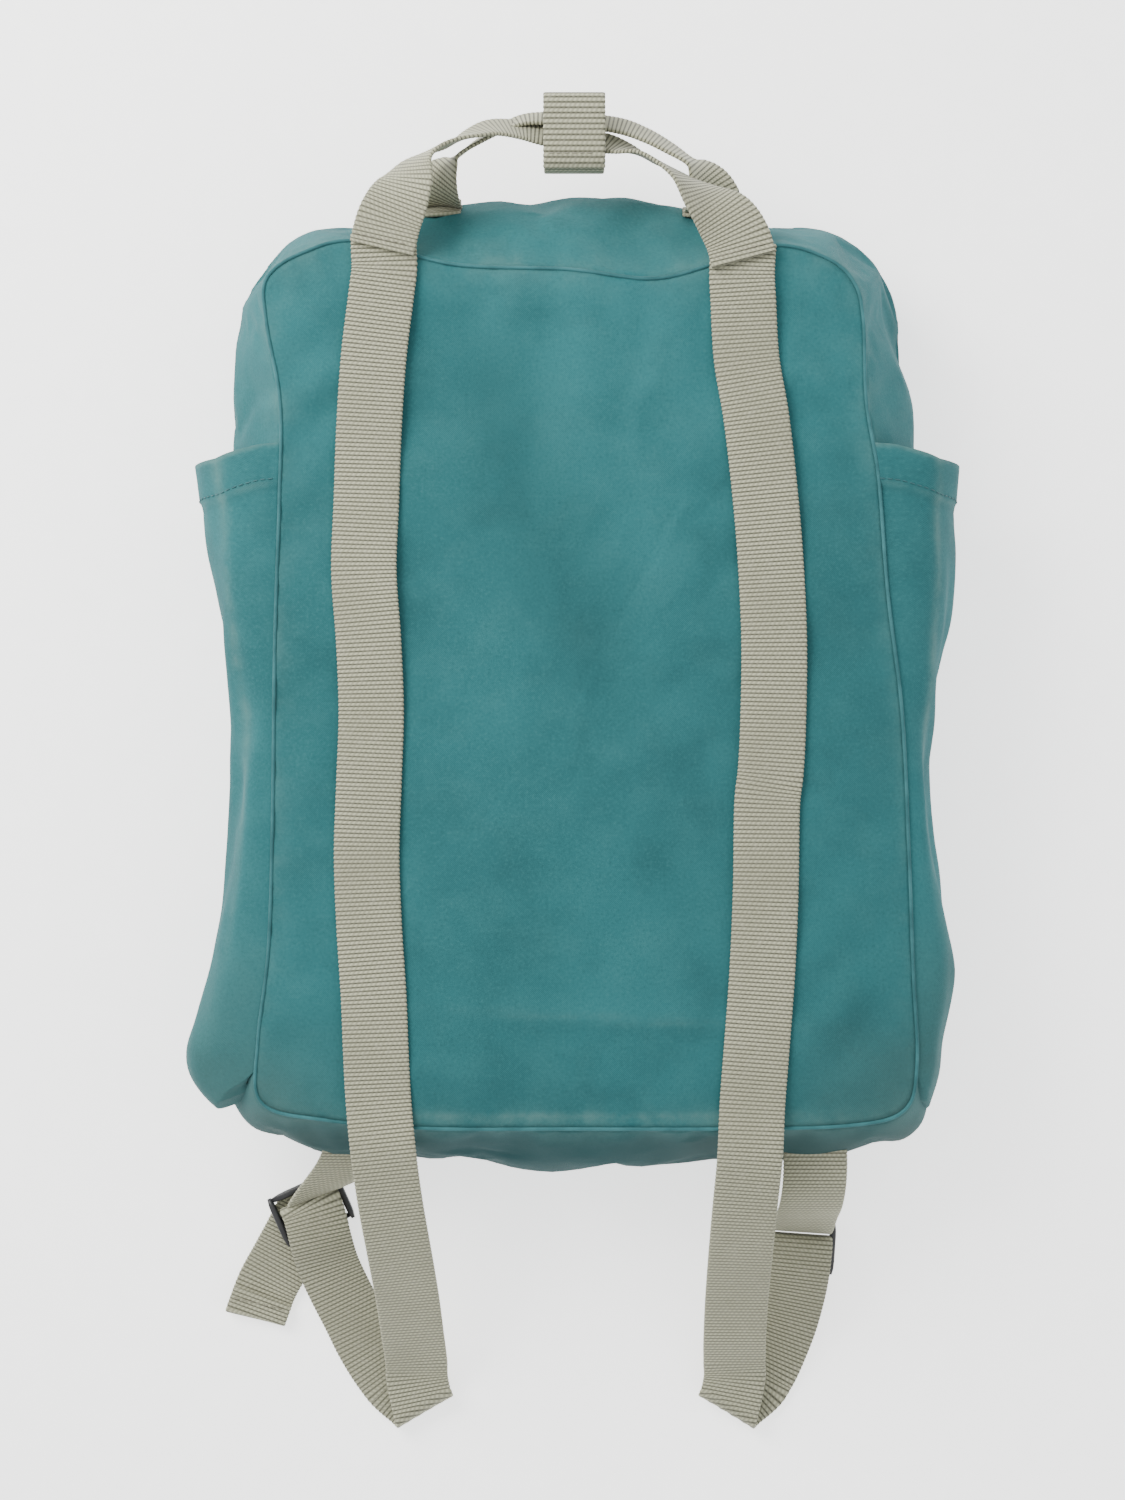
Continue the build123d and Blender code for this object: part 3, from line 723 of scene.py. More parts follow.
# ---- webbing -------------------------------------------------------------------------------------
class Fold:
    """Place where webbing turns back under itself over a rounded edge.
    heading is the direction of travel, in degrees, square to the edge."""

    def __init__(self, x, y, heading, radius, middle_z):
        self.point = np.array([x, y])
        angle = math.radians(heading)
        self.normal = np.array([math.cos(angle), math.sin(angle)])
        self.edge = np.array([-self.normal[1], self.normal[0]])
        self.radius = radius
        self.middle_z = middle_z
        self.arc = math.pi * radius

    def unfold(self, stations):
        """Stations of the part after the fold, moved to where they lie on the straight webbing."""
        result = []
        for centre, across, *width in stations:
            offset = np.array(centre[:2]) - self.point
            past = self.arc - offset @ self.normal
            xy = self.point + self.normal * past + self.edge * (offset @ self.edge)
            flat = np.array(across[:2], float)
            turned = self.edge * (flat @ self.edge) - self.normal * (flat @ self.normal)
            result.append(((*xy, 2 * self.middle_z - centre[2]), (*turned, -across[2]), *width))
        return result

    def past(self, points):
        return (points[..., :2] - self.point) @ self.normal

    def roll(self, grid):
        """Points beyond the edge are wrapped round it and laid underneath."""
        past = self.past(grid)
        turn = np.clip(past / self.radius, 0, math.pi)
        height = grid[..., 2] - self.middle_z
        reach = np.where(past <= 0, past, height * np.sin(turn) - np.maximum(past - self.arc, 0))
        rolled = grid.copy()
        rolled[..., :2] += self.normal * (reach - past)[..., None]
        rolled[..., 2] = self.middle_z + height * np.cos(turn)
        return rolled


def tilted(rows):
    """Stations for free webbing: each row is x, y, z, tilt in degrees and width."""
    rows = np.array(rows, float)
    travel = np.gradient(rows[:, :3], axis=0)
    stations = []
    for (x, y, z, tilt, width), ahead in zip(rows, unit(travel)):
        side = unit(np.cross(ahead, (0, 0, 1.0)))
        over = np.cross(side, ahead)
        turn = math.radians(tilt)
        stations.append(((x, y, z), tuple(math.cos(turn) * side + math.sin(turn) * over), width))
    return stations


def turned_over(root, length, travel, across, last_travel, last_across, widths, count=9):
    """Stations of webbing that bends and twists at once, about one slanted axis, from one
    direction to another.  It never bends edgewise, so its edges don't cross."""
    def frame(ahead, side):
        ahead = Vector(ahead).normalized()
        side = Vector(side)
        side = (side - ahead * side.dot(ahead)).normalized()
        return Matrix((ahead, side, ahead.cross(side))).transposed().to_quaternion()

    first, last = frame(travel, across), frame(last_travel, last_across)
    stations = []
    place = Vector(root)
    for k in range(count):
        facing = first.slerp(last, k / (count - 1))
        width = np.interp(k, (0, count - 1), widths)
        stations.append((tuple(place), tuple(facing @ Vector((0, 1, 0))), width))
        halfway = first.slerp(last, min((k + 0.5) / (count - 1), 1.0))
        place = place + halfway @ Vector((1, 0, 0)) * (length / (count - 1))
    return stations


def webbing_grid(stations, thickness=1.8, step=0.45, width=WEBBING_WIDTH, rib=RIB, square=True):
    """Points and UVs of ribbed flat webbing.  A station is (centre, across direction[, width]).
    Rows stay square to the run of the webbing unless it is pulled askew."""
    rows = []
    for row in stations:
        across = Vector(row[1]).normalized()
        rows.append([*row[0], *across, row[2] if len(row) > 2 else width])
    line = even(curve_through(rows, 40 * len(rows)), step=step)
    centre = line[:, :3]
    travel = unit(np.gradient(centre, axis=0))
    across = line[:, 3:6]
    if square:
        across = across - travel * np.sum(across * travel, 1)[:, None]
    across = unit(across)
    normal = unit(np.cross(across, travel))
    along = running_length(centre)
    ridge = np.abs(np.sin(math.pi * along / rib)) ** 0.7
    half_thick = thickness / 2 - 0.16 + 0.16 * ridge
    half_width = line[:, 6] / 2 - 0.35 + 0.35 * ridge
    places = [(-1, 0.0), (-0.985, 0.75), (-0.93, 1), (-0.6, 1), (-0.2, 1), (0.2, 1), (0.6, 1), (0.93, 1),
              (0.985, 0.75)]
    section = places + [(-u, -v) for u, v in places]
    grid = np.zeros((len(centre), len(section), 3))
    for k, (u, v) in enumerate(section):
        grid[:, k] = centre + across * (half_width * u)[:, None] + normal * (half_thick * v)[:, None]
    uv = np.zeros((len(centre), len(section) + 1, 2))
    for k, (u, v) in enumerate(section + section[:1]):
        uv[:, k, 0] = u * width / 2
        uv[:, k, 1] = along * RIB / rib
    return grid, uv, centre


def webbing_strip(name, stations, **options):
    grid, uv, _ = webbing_grid(stations, **options)
    return mesh_from_grid(name, grid, wrap=True, caps=True, uv=uv)


def surface_height(tree, x, y):
    """Height of the surface seen from above, or None."""
    hit = tree.ray_cast(Vector((x, y, OVERHEAD)) * MM, Vector((0, 0, -1)))
    if hit[0] is None:
        return None
    return hit[0].z / MM


def laid_on(tree, stations, lift):
    """Stations given by x, y only are laid on the surface below them."""
    result = []
    for row in stations:
        centre = row[0]
        if len(centre) == 3:
            result.append(row)
            continue
        x, y = centre
        heights = [surface_height(tree, x + d, y) for d in (-11, 0, 11)]
        z = max(h for h in heights if h is not None) + lift
        result.append(((x, y, z), *row[1:]))
    return result


def build_straps(tree):
    """Shoulder straps, each one piece of webbing: down the back, round the fold at the bottom
    and back up to its adjuster.  The part past the fold is a second mesh."""
    runs = {
        "left": [
            ((-79.9, 193, 80.2), (1, -0.18, 0)), ((-79.6, 185, 81.4), (1, -0.15, 0)),
            ((-79.5, 177), (1, -0.12, 0)), ((-81, 165), (1, -0.06, 0)), ((-84, 140), ACROSS),
            ((-86, 110), (1, 0.02, 0)), ((-87, 80), (1, 0.03, 0.02)), ((-88, 50), (1, 0, 0.05)),
            ((-86, 20), (1, 0, 0.07)), ((-85, -10), (1, 0, 0.06)), ((-86, -40), (1, 0, 0.03)),
            ((-87, -70), ACROSS), ((-86, -100), ACROSS), ((-84, -130), ACROSS),
            ((-83, -155), (1, 0.03, 0)), ((-82, -176), (1, 0.05, 0)), ((-80, -197, 79), (1, 0.07, 0)),
            ((-77.5, -220, 71), (1, 0.12, 0)), ((-74.5, -243, 59), (1, 0.15, 0)),
            ((-72, -266, 42), (1, 0.14, 0.03)), ((-70.5, -286, 27), (1, 0.12, 0.04)),
            ((-69.5, -300, 16.5), (1, 0.10, 0.02)), ((-69, -312, 10.5), (1, 0.08, 0)),
        ],
        "right": [
            ((72.8, 189, 80.2), (1, 0.25, 0)), ((72.2, 182, 81.4), (1, 0.18, 0)),
            ((72, 174), (1, 0.1, 0)), ((72.5, 165), (1, 0.04, 0)), ((74, 140), ACROSS),
            ((78, 115), (1, 0.04, 0)), ((81.5, 85), (1, 0.04, 0)), ((84, 55), (1, 0.02, 0)),
            ((85.5, 20), ACROSS), ((85, -15), (1, 0, 0.02)), ((84, -35), (1, 0, 0.05)),
            ((82.5, -50), (1, 0, 0.02)), ((82, -85), ACROSS), ((80.5, -120), (1, -0.03, 0)),
            ((78, -155), (1, -0.05, 0)), ((76.5, -176), (1, -0.05, 0)), ((75.5, -198, 80), (1, -0.06, 0)),
            ((74, -220, 72), (1, -0.06, 0)), ((73, -243, 58), (1, -0.04, 0)), ((72.5, -268, 39), ACROSS),
            ((72.5, -288, 26), (1, -0.03, 0)), ((73, -300, 16.5), (1, -0.05, 0)),
            ((73, -312, 10.5), (1, -0.06, 0)),
        ],
    }
    folds = {"left": Fold(-68.6, -322, -57.6, 2.6, 5.4), "right": Fold(73.1, -322.4, -123.0, 2.6, 5.4)}
    returns = {
        "left": [
            ((-77, -316.5, 2.8), (0.55, 0.83, 0)), ((-85, -307.5, 2.6), (0.72, 0.69, 0)),
            ((-92.5, -295.5, 3.0), (0.85, 0.52, 0)), ((-99, -282, 4.2), (0.9, 0.42, 0)),
            ((-105, -269.5, 6.5), (0.93, 0.36, 0)), ((-109.6, -258, 10), (0.95, 0.3, 0)),
            ((-112.2, -247, 15.4), (0.94, 0.34, 0)), ((-114, -238.5, 17.3), (0.92, 0.39, 0)),
            ((-116, -231.6, 17.3), (0.91, 0.41, 0)), ((-117.9, -228.2, 15.4), (0.91, 0.41, 0)),
            ((-118, -227.8, 11.8), (0.91, 0.41, 0)), ((-117, -230, 9.6), (0.91, 0.41, 0)),
        ],
        "right": [
            ((81.5, -316.5, 2.8), (0.6, -0.8, 0)), ((88, -308, 2.7), (0.76, -0.65, 0)),
            ((93, -297, 3.6), (0.9, -0.43, 0)), ((97.4, -284, 7), (0.95, -0.3, 0)),
            ((100.4, -270, 12.6), (0.98, -0.18, 0)), ((101.8, -260, 16.8), (1, -0.1, 0)),
            ((102.6, -252, 17.8), (1, -0.07, 0)), ((103, -247.4, 17.4), (1, -0.07, 0)),
            ((103.2, -244.6, 15.4), (1, -0.07, 0)), ((103.2, -244.4, 11.8), (1, -0.07, 0)),
            ((103, -246.6, 9.6), (1, -0.07, 0)),
        ],
    }
    for side, run in runs.items():
        fold = folds[side]
        grid, uv, centre = webbing_grid(laid_on(tree, run, STRAP_LIFT) + fold.unfold(returns[side]))
        split = int(np.argmax(fold.past(centre) > fold.arc + 14))
        grid = fold.roll(grid)
        piece = mesh_from_grid(f"shoulder_strap_{side}", grid[:split + 1], wrap=True, caps=True,
                               uv=uv[:split + 1])
        finish_piece(piece, "pack", WEBBING, (f"strap_{side}_upper",))
        piece = mesh_from_grid(f"strap_return_{side}", grid[split:], wrap=True, caps=True, uv=uv[split:])
        finish_blended(piece, WEBBING,
                       (f"strap_{side}_lower", f"strap_fold_{side}"))


# ---- side pockets --------------------------------------------------------------------------------
POCKET_OUTLINES = {
    "left": [(-196, -130), (-190, -142), (-180, -156), (-168, -164.5), (-156, -166.5), (-140, -162.5),
             (-113, -156), (-83, -150.5), (-48, -146.5), (-19, -145.5), (5, -148.5), (31, -153),
             (57, -157), (80, -159.5), (98, -162.5), (108, -163)],
    "right": [(-202, 134), (-197, 148), (-188, 153), (-178, 156), (-165, 159.5), (-150, 161), (-127, 166),
              (-113, 165.5), (-92, 161), (-70, 157), (-48, 154), (-26, 154.5), (-4, 157), (31, 164),
              (57, 166), (75, 165.5), (97, 167), (108, 167)],
}


def seam_point(y, sign):
    """Sideways place and height of the back seam at a height up the pack."""
    half = SEAM[SEAM[:, 0] * sign > 0]
    order = np.argsort(half[:, 1])
    y = max(y, -176.0)
    x, z = (np.interp(y, half[order, 1], half[order, k]) for k in (0, 2))
    return x, z


def zip_x(y):
    """Half width of the zip line at a height up the pack."""
    half_x, half_y, radius = ZIP_HALF
    into = np.clip(np.abs(y) - (half_y - radius), 0, radius - 0.5)
    return half_x - radius + np.sqrt(radius ** 2 - into ** 2)


def pocket_surface(side, rows, columns):
    """Grid of points over a side pocket, bottom row first, from the back seam round to the front."""
    sign = -1 if side == "left" else 1
    outline = np.array(POCKET_OUTLINES[side], float)
    fine = curve_through(outline, 400)
    grid = np.zeros((rows, columns, 3))
    shares = np.linspace(0, 1, columns)
    low = np.interp(shares, [0, 0.12, 0.3, 0.55, 1.0], [-177, -184, -191, -196, -196])
    top = np.interp(shares, [0, 0.1, 0.3, 0.6, 1.0], [104.5, 104, 98.5, 96.5, 95])
    for r in range(rows):
        t = r / (rows - 1)
        for c, share in enumerate(shares):
            y = low[c] + t * (top[c] - low[c])
            out = np.interp(y, fine[:, 0], fine[:, 1])
            near = smooth_step(-y, 150, 196)
            edge_x, edge_z = seam_point(y, sign)
            seam = np.array([edge_x + 0.2 * sign, edge_z - 0.3])
            front = np.array([sign * (zip_x(y) + 1.2), 33.0])
            shoulder = np.array([seam[0] + 0.62 * (out - seam[0]), edge_z - 4.5])
            side_top = np.array([out - 1.0 * sign, 58.0 - 2 * near])
            side_low = np.array([out - 1.5 * sign, 44.0])
            line = [seam, shoulder, side_top, side_low, front]
            position = share * 4
            i = min(int(position), 3)
            f = position - i
            x, z = between_four(line[max(i - 1, 0)], line[i], line[i + 1], line[min(i + 2, 4)], f)
            grid[r, c] = (x, y, z)
    away_from_seam = smooth_step(shares, 0, 0.35)[:, None]
    for r in range(6):
        under = 1 - r / 6
        turned = np.array([-sign * 16, 5, 0]) * under ** 2 + np.array([-sign * 2, -4,
                                                                       0]) * under * (1 - under)
        grid[r] = grid[6] + turned * away_from_seam
    return grid


def fold_lines(side, grid):
    """Upright and slanting folds of the slack pocket."""
    sign = -1 if side == "left" else 1
    y, z = grid[:, :, 1], grid[:, :, 2]
    flat = (grid * np.array([1.0, 0.30, 1.0])).reshape(-1, 3)
    wave = 2.6 * noise_at(flat, 17.0, 11 + sign).reshape(y.shape) + 1.3 * noise_at(flat, 8.0,
                                                                                   14).reshape(y.shape)
    waist = bump(y, -25, 60)
    slant = 1.8 * np.sin((z - 0.22 * (y + 20)) / 4.2) * waist
    return (wave * (0.45 + 0.8 * waist) + slant) * sign


def build_side_pocket(side):
    sign = -1 if side == "left" else 1
    rows, columns = 120, 44
    grid = pocket_surface(side, rows, columns)
    share = np.linspace(0, 1, columns)[None, :] * np.ones((rows, 1))
    free = np.sin(np.pi * share) ** 0.7 * smooth_step(106 - grid[:, :, 1], 0, 22)
    grid[:, :, 0] += fold_lines(side, grid) * free
    drop = grid[-1:, :, 1] - grid[:, :, 1]
    hem = smooth_step(-drop, -HEM - 0.8, -HEM + 0.3)
    groove = bump(drop, HEM + 1.2, 1.3)
    outward = np.sin(np.pi * np.clip(share * 1.1, 0, 1))
    grid[:, :, 0] += sign * outward * (1.0 * hem - 0.7 * groove)
    grid[:, :, 2] += (1 - outward) * (0.8 * hem - 0.4 * groove)
    wear = 0.9 * bump(drop, 0, 1.6) + 0.35 * bump(drop, HEM, 1.6)
    wear = wear + 0.55 * bump(share, 0.30, 0.035) * smooth_step(grid[:, :, 1], -160, 20)
    # Darker towards the bottom of the pack.
    darkening = smooth_step(-grid[:, :, 1], 60, 190)
    shade = 0.25 * smooth_step(share, 0.55, 1.0) + 0.15 * bump(drop, HEM + 2, 2)
    uv = np.zeros((rows, columns, 2))
    uv[:, :, 0] = running_length(grid[rows // 2])[None, :]
    uv[:, :, 1] = grid[:, :, 1]
    if sign > 0:
        grid, uv = grid[:, ::-1], uv[:, ::-1]
        wear, darkening, shade = wear[:, ::-1], darkening[:, ::-1], shade[:, ::-1]
    marks = {"wear": np.clip(wear, 0, 1), "darkening": darkening, "shade": shade}
    piece = mesh_from_grid(f"side_pocket_canvas_{side}", grid[:, ::-1], uv=uv[:, ::-1],
                           marks={key: value[:, ::-1] for key, value in marks.items()})
    thicken(piece, 1.4)
    finish_piece(piece, "pack", CANVAS, (f"side_pocket_{side}", f"pocket_hem_{side}"))
    line = np.zeros((columns, 3))
    source = grid[:, ::-1]
    for c in range(columns):
        y_line = source[-1, c, 1] - HEM + 1.8
        for axis in range(3):
            line[c, axis] = np.interp(y_line, source[:, c, 1], source[:, c, axis])
    away = np.column_stack([np.full(columns, sign * 0.75), np.zeros(columns), np.full(columns, 0.65)])
    stitch_row(f"hem_stitches_{side}", line + away * 0.25, "pack", THREAD)


# ---- stitching -----------------------------------------------------------------------------------
def stitch_row(name, line, body, material, length=2.4, gap=0.9, radius=0.28):
    """Row of short raised stitches along a line."""
    pitch = length + gap
    line = even(line, step=pitch / 4)
    total = (len(line) - 1) // 4
    vertices, faces = [], []
    shares = (0.02, 0.18, 0.5, 0.82, 0.98)
    swell = (0.25, 0.85, 1.0, 0.85, 0.25)
    for k in range(total):
        a, b = line[4 * k], line[4 * k + 3]
        travel = (b - a) / max(np.linalg.norm(b - a), 1e-6)
        side = unit(np.cross(travel, (0.02, 0.01, 1.0)))
        over = np.cross(side, travel)
        base = len(vertices)
        for share, size in zip(shares, swell):
            for q in range(6):
                angle = q * math.pi / 3
                offset = radius * size * (math.cos(angle) * side + math.sin(angle) * over)
                vertices.append(a + (b - a) * share + offset)
        faces += tube_faces(base, 5, 6)
    return finish_piece(new_piece(name, vertices, faces), body, material)


# ---- carry handle --------------------------------------------------------------------------------
def build_handle(wall_tree):
    back = tilted([
        (-80.3, 186, 83.9, 0, 28), (-77.6, 197, 83.8, 2, 28), (-74.4, 205, 83, 8, 27.5),
        (-70.5, 214, 81.5, 30, 27), (-66.5, 223, 79, 58, 26), (-60, 228.5, 77, 76, 24),
        (-51, 232.6, 75, 80, 22), (-42, 237, 73, 66, 21), (-33, 240, 70.5, 58, 20),
        (-22, 239.8, 67.5, 54, 19), (-11, 238, 66, 46, 17), (1, 236.5, 65.5, 44, 16),
        (13, 234.5, 66, 48, 17), (22, 231.6, 68, 62, 19), (31, 227.8, 71, 80, 21),
        (40, 222.6, 74.5, 76, 23), (48.5, 216, 78, 66, 25), (56.5, 208, 81, 42, 27),
        (64.5, 199.5, 83, 16, 28), (69.8, 190.5, 83.9, 3, 28), (72.6, 181, 84, 0, 28),
    ])
    piece = webbing_strip("carry_handle_back", back)
    finish_blended(piece, WEBBING,
                   ("back_handle", "back_handle_base_left", "back_handle_base_right"))

    def on_gusset(x, z, lift):
        hit = wall_tree.ray_cast(Vector((x, 300, z)) * MM, Vector((0, -1, 0)))
        return hit[0].y / MM + lift

    def along_gusset(x, z, reach):
        """Direction across the webbing where it lies flat on the curved wall."""
        return (2 * reach, on_gusset(x + reach, z, 0) - on_gusset(x - reach, z, 0), 0)

    def loop_half(sign, travel, length, last_travel, lean, free):
        """Stations of half of the front loop, from its sewn end to beside the grip."""
        root = (-FRONT_TAB_X, on_gusset(sign * -FRONT_TAB_X, 45, 3.0) - 0.4, 45.0)
        across_x, across_y, across_z = along_gusset(sign * -FRONT_TAB_X, 45, 12)
        flat = (across_x, sign * across_y, across_z)
        sewn = [((root[0] - 4 * travel[0], root[1] - 0.8, root[2] - 4.0), flat, 28)]
        turn = turned_over(root, length, travel, flat, last_travel, (0.1, -lean, 0.95), (28, 21))
        x, y, z = turn[-1][0]
        widths = (19, 17, 14.5)
        run = [((x + dx, y + dy, z), (0.05, -lean - 0.01 * dx, 0.85), width)
               for (dx, dy), width in zip(free, widths)]
        return [((sign * x, y, z), (sign * ax, ay, az), width)
                for (x, y, z), (ax, ay, az), width in sewn + turn + run]

    left_half = loop_half(1, (0.35, 0.10, 1), 30.0, (0.80, 0.60, 0), 0.16,
                          ((9, 6.2), (19, 11.8), (31, 16.0)))
    right_half = loop_half(-1, (0.12, 0.12, 1), 31.0, (0.84, 0.54, 0), 0.34,
                           ((9, 5.8), (19, 11.2), (31, 15.4)))
    middle_y = (left_half[-1][0][1] + right_half[-1][0][1]) / 2 + 0.8
    middle_z = (left_half[-1][0][2] + right_half[-1][0][2]) / 2
    front = left_half + [((1, middle_y, middle_z), (0, -0.6, 0.8), 14)] + right_half[::-1]
    for side, x in (("left", -FRONT_TAB_X), ("right", FRONT_TAB_X)):
        base = [((x, on_gusset(x, z, 1.5), z), along_gusset(x, z, 12)) for z in (33, 38, 43, 48, 53)]
        tab = webbing_strip(f"front_handle_tab_{side}", base)
        finish_piece(tab, "pack", WEBBING, (f"front_handle_base_{side}",))
    piece = webbing_strip("carry_handle_front", front)
    finish_blended(piece, WEBBING,
                   ("front_handle",))
    for side, x, y, skew in (("left", -79.6, 189.5, -0.22), ("right", 71.8, 185, 0.28)):
        line = [(x - 12.5, y - 12.5 * skew, 85.0), (x + 12.5, y + 12.5 * skew, 85.0)]
        stitch_row(f"handle_stitches_{side}", line, "pack", THREAD_TAUPE)


def build_grip():
    low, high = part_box("grip_wrap")
    middle_x = (low.x + high.x) / 2 / MM
    y0, y1 = low.y / MM + 1, high.y / MM - 1
    z0, z1 = low.z / MM + 1, high.z / MM - 1.2
    width = (high.x - low.x) / MM
    r = 5.0
    loop = [(y0 + r, z0), (y1 - r, z0), (y1 - 1, z0 + 1.5), (y1, z0 + r), (y1, z1 - r),
            (y1 - 1.5, z1 - 1), (y1 - r, z1), (y0 + r, z1), (y0 + 1.5, z1 - 1), (y0, z1 - r),
            (y0, z0 + r), (y0 + 1, z0 + 1.5), (y0 + r + 0.5, z0 + 0.1)]
    stations = [((middle_x, y, z), ACROSS, width) for y, z in loop]
    piece = webbing_strip("grip_wrap_webbing", stations, width=width, rib=2.3)
    finish_piece(piece, "handle", WEBBING, ("grip_wrap",))
    low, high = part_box("grip_flap")
    top = (low.z + high.z) / 2 / MM
    y0, y1 = low.y / MM, high.y / MM
    cover = [(y1 + 2.0, z0 + 4), (y1 + 2.2, z1 - 5), (y1 + 1.6, top - 2.6), (y1 + 0.2, top - 0.2),
             (y1 - 2.5, top + 1.0), (y1 - 7, top + 1.5), (y1 - 14, top + 1.8), (y0 + 6, top + 1.2),
             (y0 + 1, top - 0.2), (y0 - 0.6, top - 1.8)]
    stations = [((middle_x, y, z), ACROSS, width + 0.6) for y, z in cover]
    piece = webbing_strip("grip_cover_webbing", stations, width=width, rib=2.3)
    finish_blended(piece, WEBBING, ("grip_flap",))
    line = [(middle_x - 11, y0 + 4.5, top + 2.0), (middle_x + 11, y0 + 4.5, top + 2.0)]
    stitch_row("grip_stitches", line, "grip_cover", THREAD_TAUPE)


# ---- strap adjusters -----------------------------------------------------------------------------
def rounded_bar(name, start, end, wide, thick):
    """Moulded bar with an oval section between two points."""
    start, end = np.array(start, float), np.array(end, float)
    side = unit(np.cross(unit(end - start), (0, 0, 1.0)))
    shares = np.linspace(0, 1, 9)
    ends = [0.55, 0.9, 1, 1, 1, 1, 1, 0.9, 0.55]
    grid = []
    for share, size in zip(shares, ends):
        ring = []
        for q in range(16):
            angle = q * math.pi / 8
            u = math.copysign(abs(math.cos(angle)) ** 0.6, math.cos(angle))
            v = math.copysign(abs(math.sin(angle)) ** 0.6, math.sin(angle))
            rise = np.array([0, 0, v * thick / 2 * size])
            ring.append(start + (end - start) * share + side * u * wide / 2 * size + rise)
        grid.append(ring)
    return mesh_from_grid(name, grid, wrap=True, caps=True)


def join(pieces, name):
    context = {"active_object": pieces[0], "selected_editable_objects": pieces, "selected_objects": pieces}
    with bpy.context.temp_override(**context):
        bpy.ops.object.join()
    pieces[0].name = name
    return pieces[0]


def build_ladder_lock(side, centre, direction):
    """Ladder-lock adjuster: two rails, three bars and the lip that a thumb lifts."""
    d = unit([*direction, 0.0])
    down = np.array([d[1], -d[0], 0.0])
    c = np.array(centre, float) + np.array([0, 0, 1.8])
    bars = []
    for k, (offset, wide, thick) in enumerate(((-10.3, 3.4, 3.4), (0, 3.6, 2.8), (9.8, 3.4, 3.0))):
        middle = c + down * offset - [0, 0, 0.5 * k]
        bars.append(rounded_bar(f"bar_{side}_{k}", middle - d * 15, middle + d * 15, wide, thick))
    for k, sign in enumerate((-1, 1)):
        middle = c + d * sign * 15.6
        bars.append(rounded_bar(f"rail_{side}_{k}", middle - down * 11.6, middle + down * 11.6, 3.0, 4.0))
    lip = c + down * 12.4 - np.array([0, 0, 1.6])
    bars.append(rounded_bar(f"lip_{side}", lip - d * 12.5, lip + d * 12.5, 4.2, 2.6))
    piece = join(bars, f"ladder_lock_{side}")
    finish_piece(piece, f"adjuster_{side}", PLASTIC, (f"buckle_{side}",))


def build_adjusters():
    build_ladder_lock("left", (-117, -232, 11), (0.91, 0.41))
    build_ladder_lock("right", (101.5, -249, 11), (1, -0.07))
    anchors = {
        "left": [((-94.4, -190, 42), ACROSS), ((-95.2, -200, 39.5), ACROSS),
                 ((-98.5, -208, 34.5), ACROSS), ((-104, -215, 28), (0.99, 0.08, 0)),
                 ((-109.2, -220.6, 22.2), (0.96, 0.22, 0), 29),
                 ((-113, -224.4, 17.8), (0.94, 0.33, 0), 29), ((-114.9, -226.4, 14.4), (0.92, 0.39, 0)),
                 ((-115, -225.6, 10.4), (0.91, 0.41, 0)), ((-116.4, -222, 9.4), (0.91, 0.41, 0))],
        "right": [((105.4, -199, 56), ACROSS), ((105.6, -208, 54.5), ACROSS),
                  ((105.4, -217, 50.5), ACROSS), ((104.8, -226, 42), ACROSS), ((103.8, -233, 31), ACROSS),
                  ((103.2, -239.4, 20.6), (1, -0.05, 0)), ((102.9, -241.6, 14.6), (1, -0.07, 0)),
                  ((102.9, -240.6, 10.6), (1, -0.07, 0)), ((103.2, -236, 9.4), (1, -0.07, 0))],
    }
    for side, stations in anchors.items():
        piece = webbing_strip(f"anchor_webbing_{side}", stations, square=False)
        finish_piece(piece, "pack", WEBBING, (f"anchor_{side}",))
    tails = {
        "left": [((-119, -233, 8.4), (0.93, 0.3, 0)), ((-124, -243, 7.0), (0.97, 0.12, 0)),
                 ((-131, -256, 4.6), (1, -0.08, 0)),
                 ((-138, -269, 3.0), (0.98, -0.18, 0)), ((-142.8, -282, 2.3), (0.97, -0.23, 0))],
        "right": [((101.5, -252, 8.0), ACROSS), ((98, -262, 5.4), (1, -0.1, 0)),
                  ((93, -275, 3.2), (1, -0.2, 0)),
                  ((87, -288, 2.5), (1, -0.25, 0))],
    }
    for side, stations in tails.items():
        piece = webbing_strip(f"strap_tail_end_{side}", stations)
        finish_piece(piece, "pack", WEBBING, (f"strap_tail_{side}",))
        end, across = stations[-1]
        onward = unit(np.array(end) - np.array(stations[-2][0]))
        fold = [(tuple(end + onward * ahead + (0, 0, rise)), across)
                for ahead, rise in ((-9, 3.0), (-4, 2.7), (0, 2.4), (1.0, 1.0), (0, 0.05))]
        hem = webbing_strip(f"tail_hem_{side}", fold)
        finish_piece(hem, "pack", WEBBING)
        row = end - onward * 6 + (0, 0, 4.1)
        reach = unit(across) * 12
        stitch_row(f"tail_stitches_{side}", [row - reach, row + reach], "pack", THREAD_TAUPE)


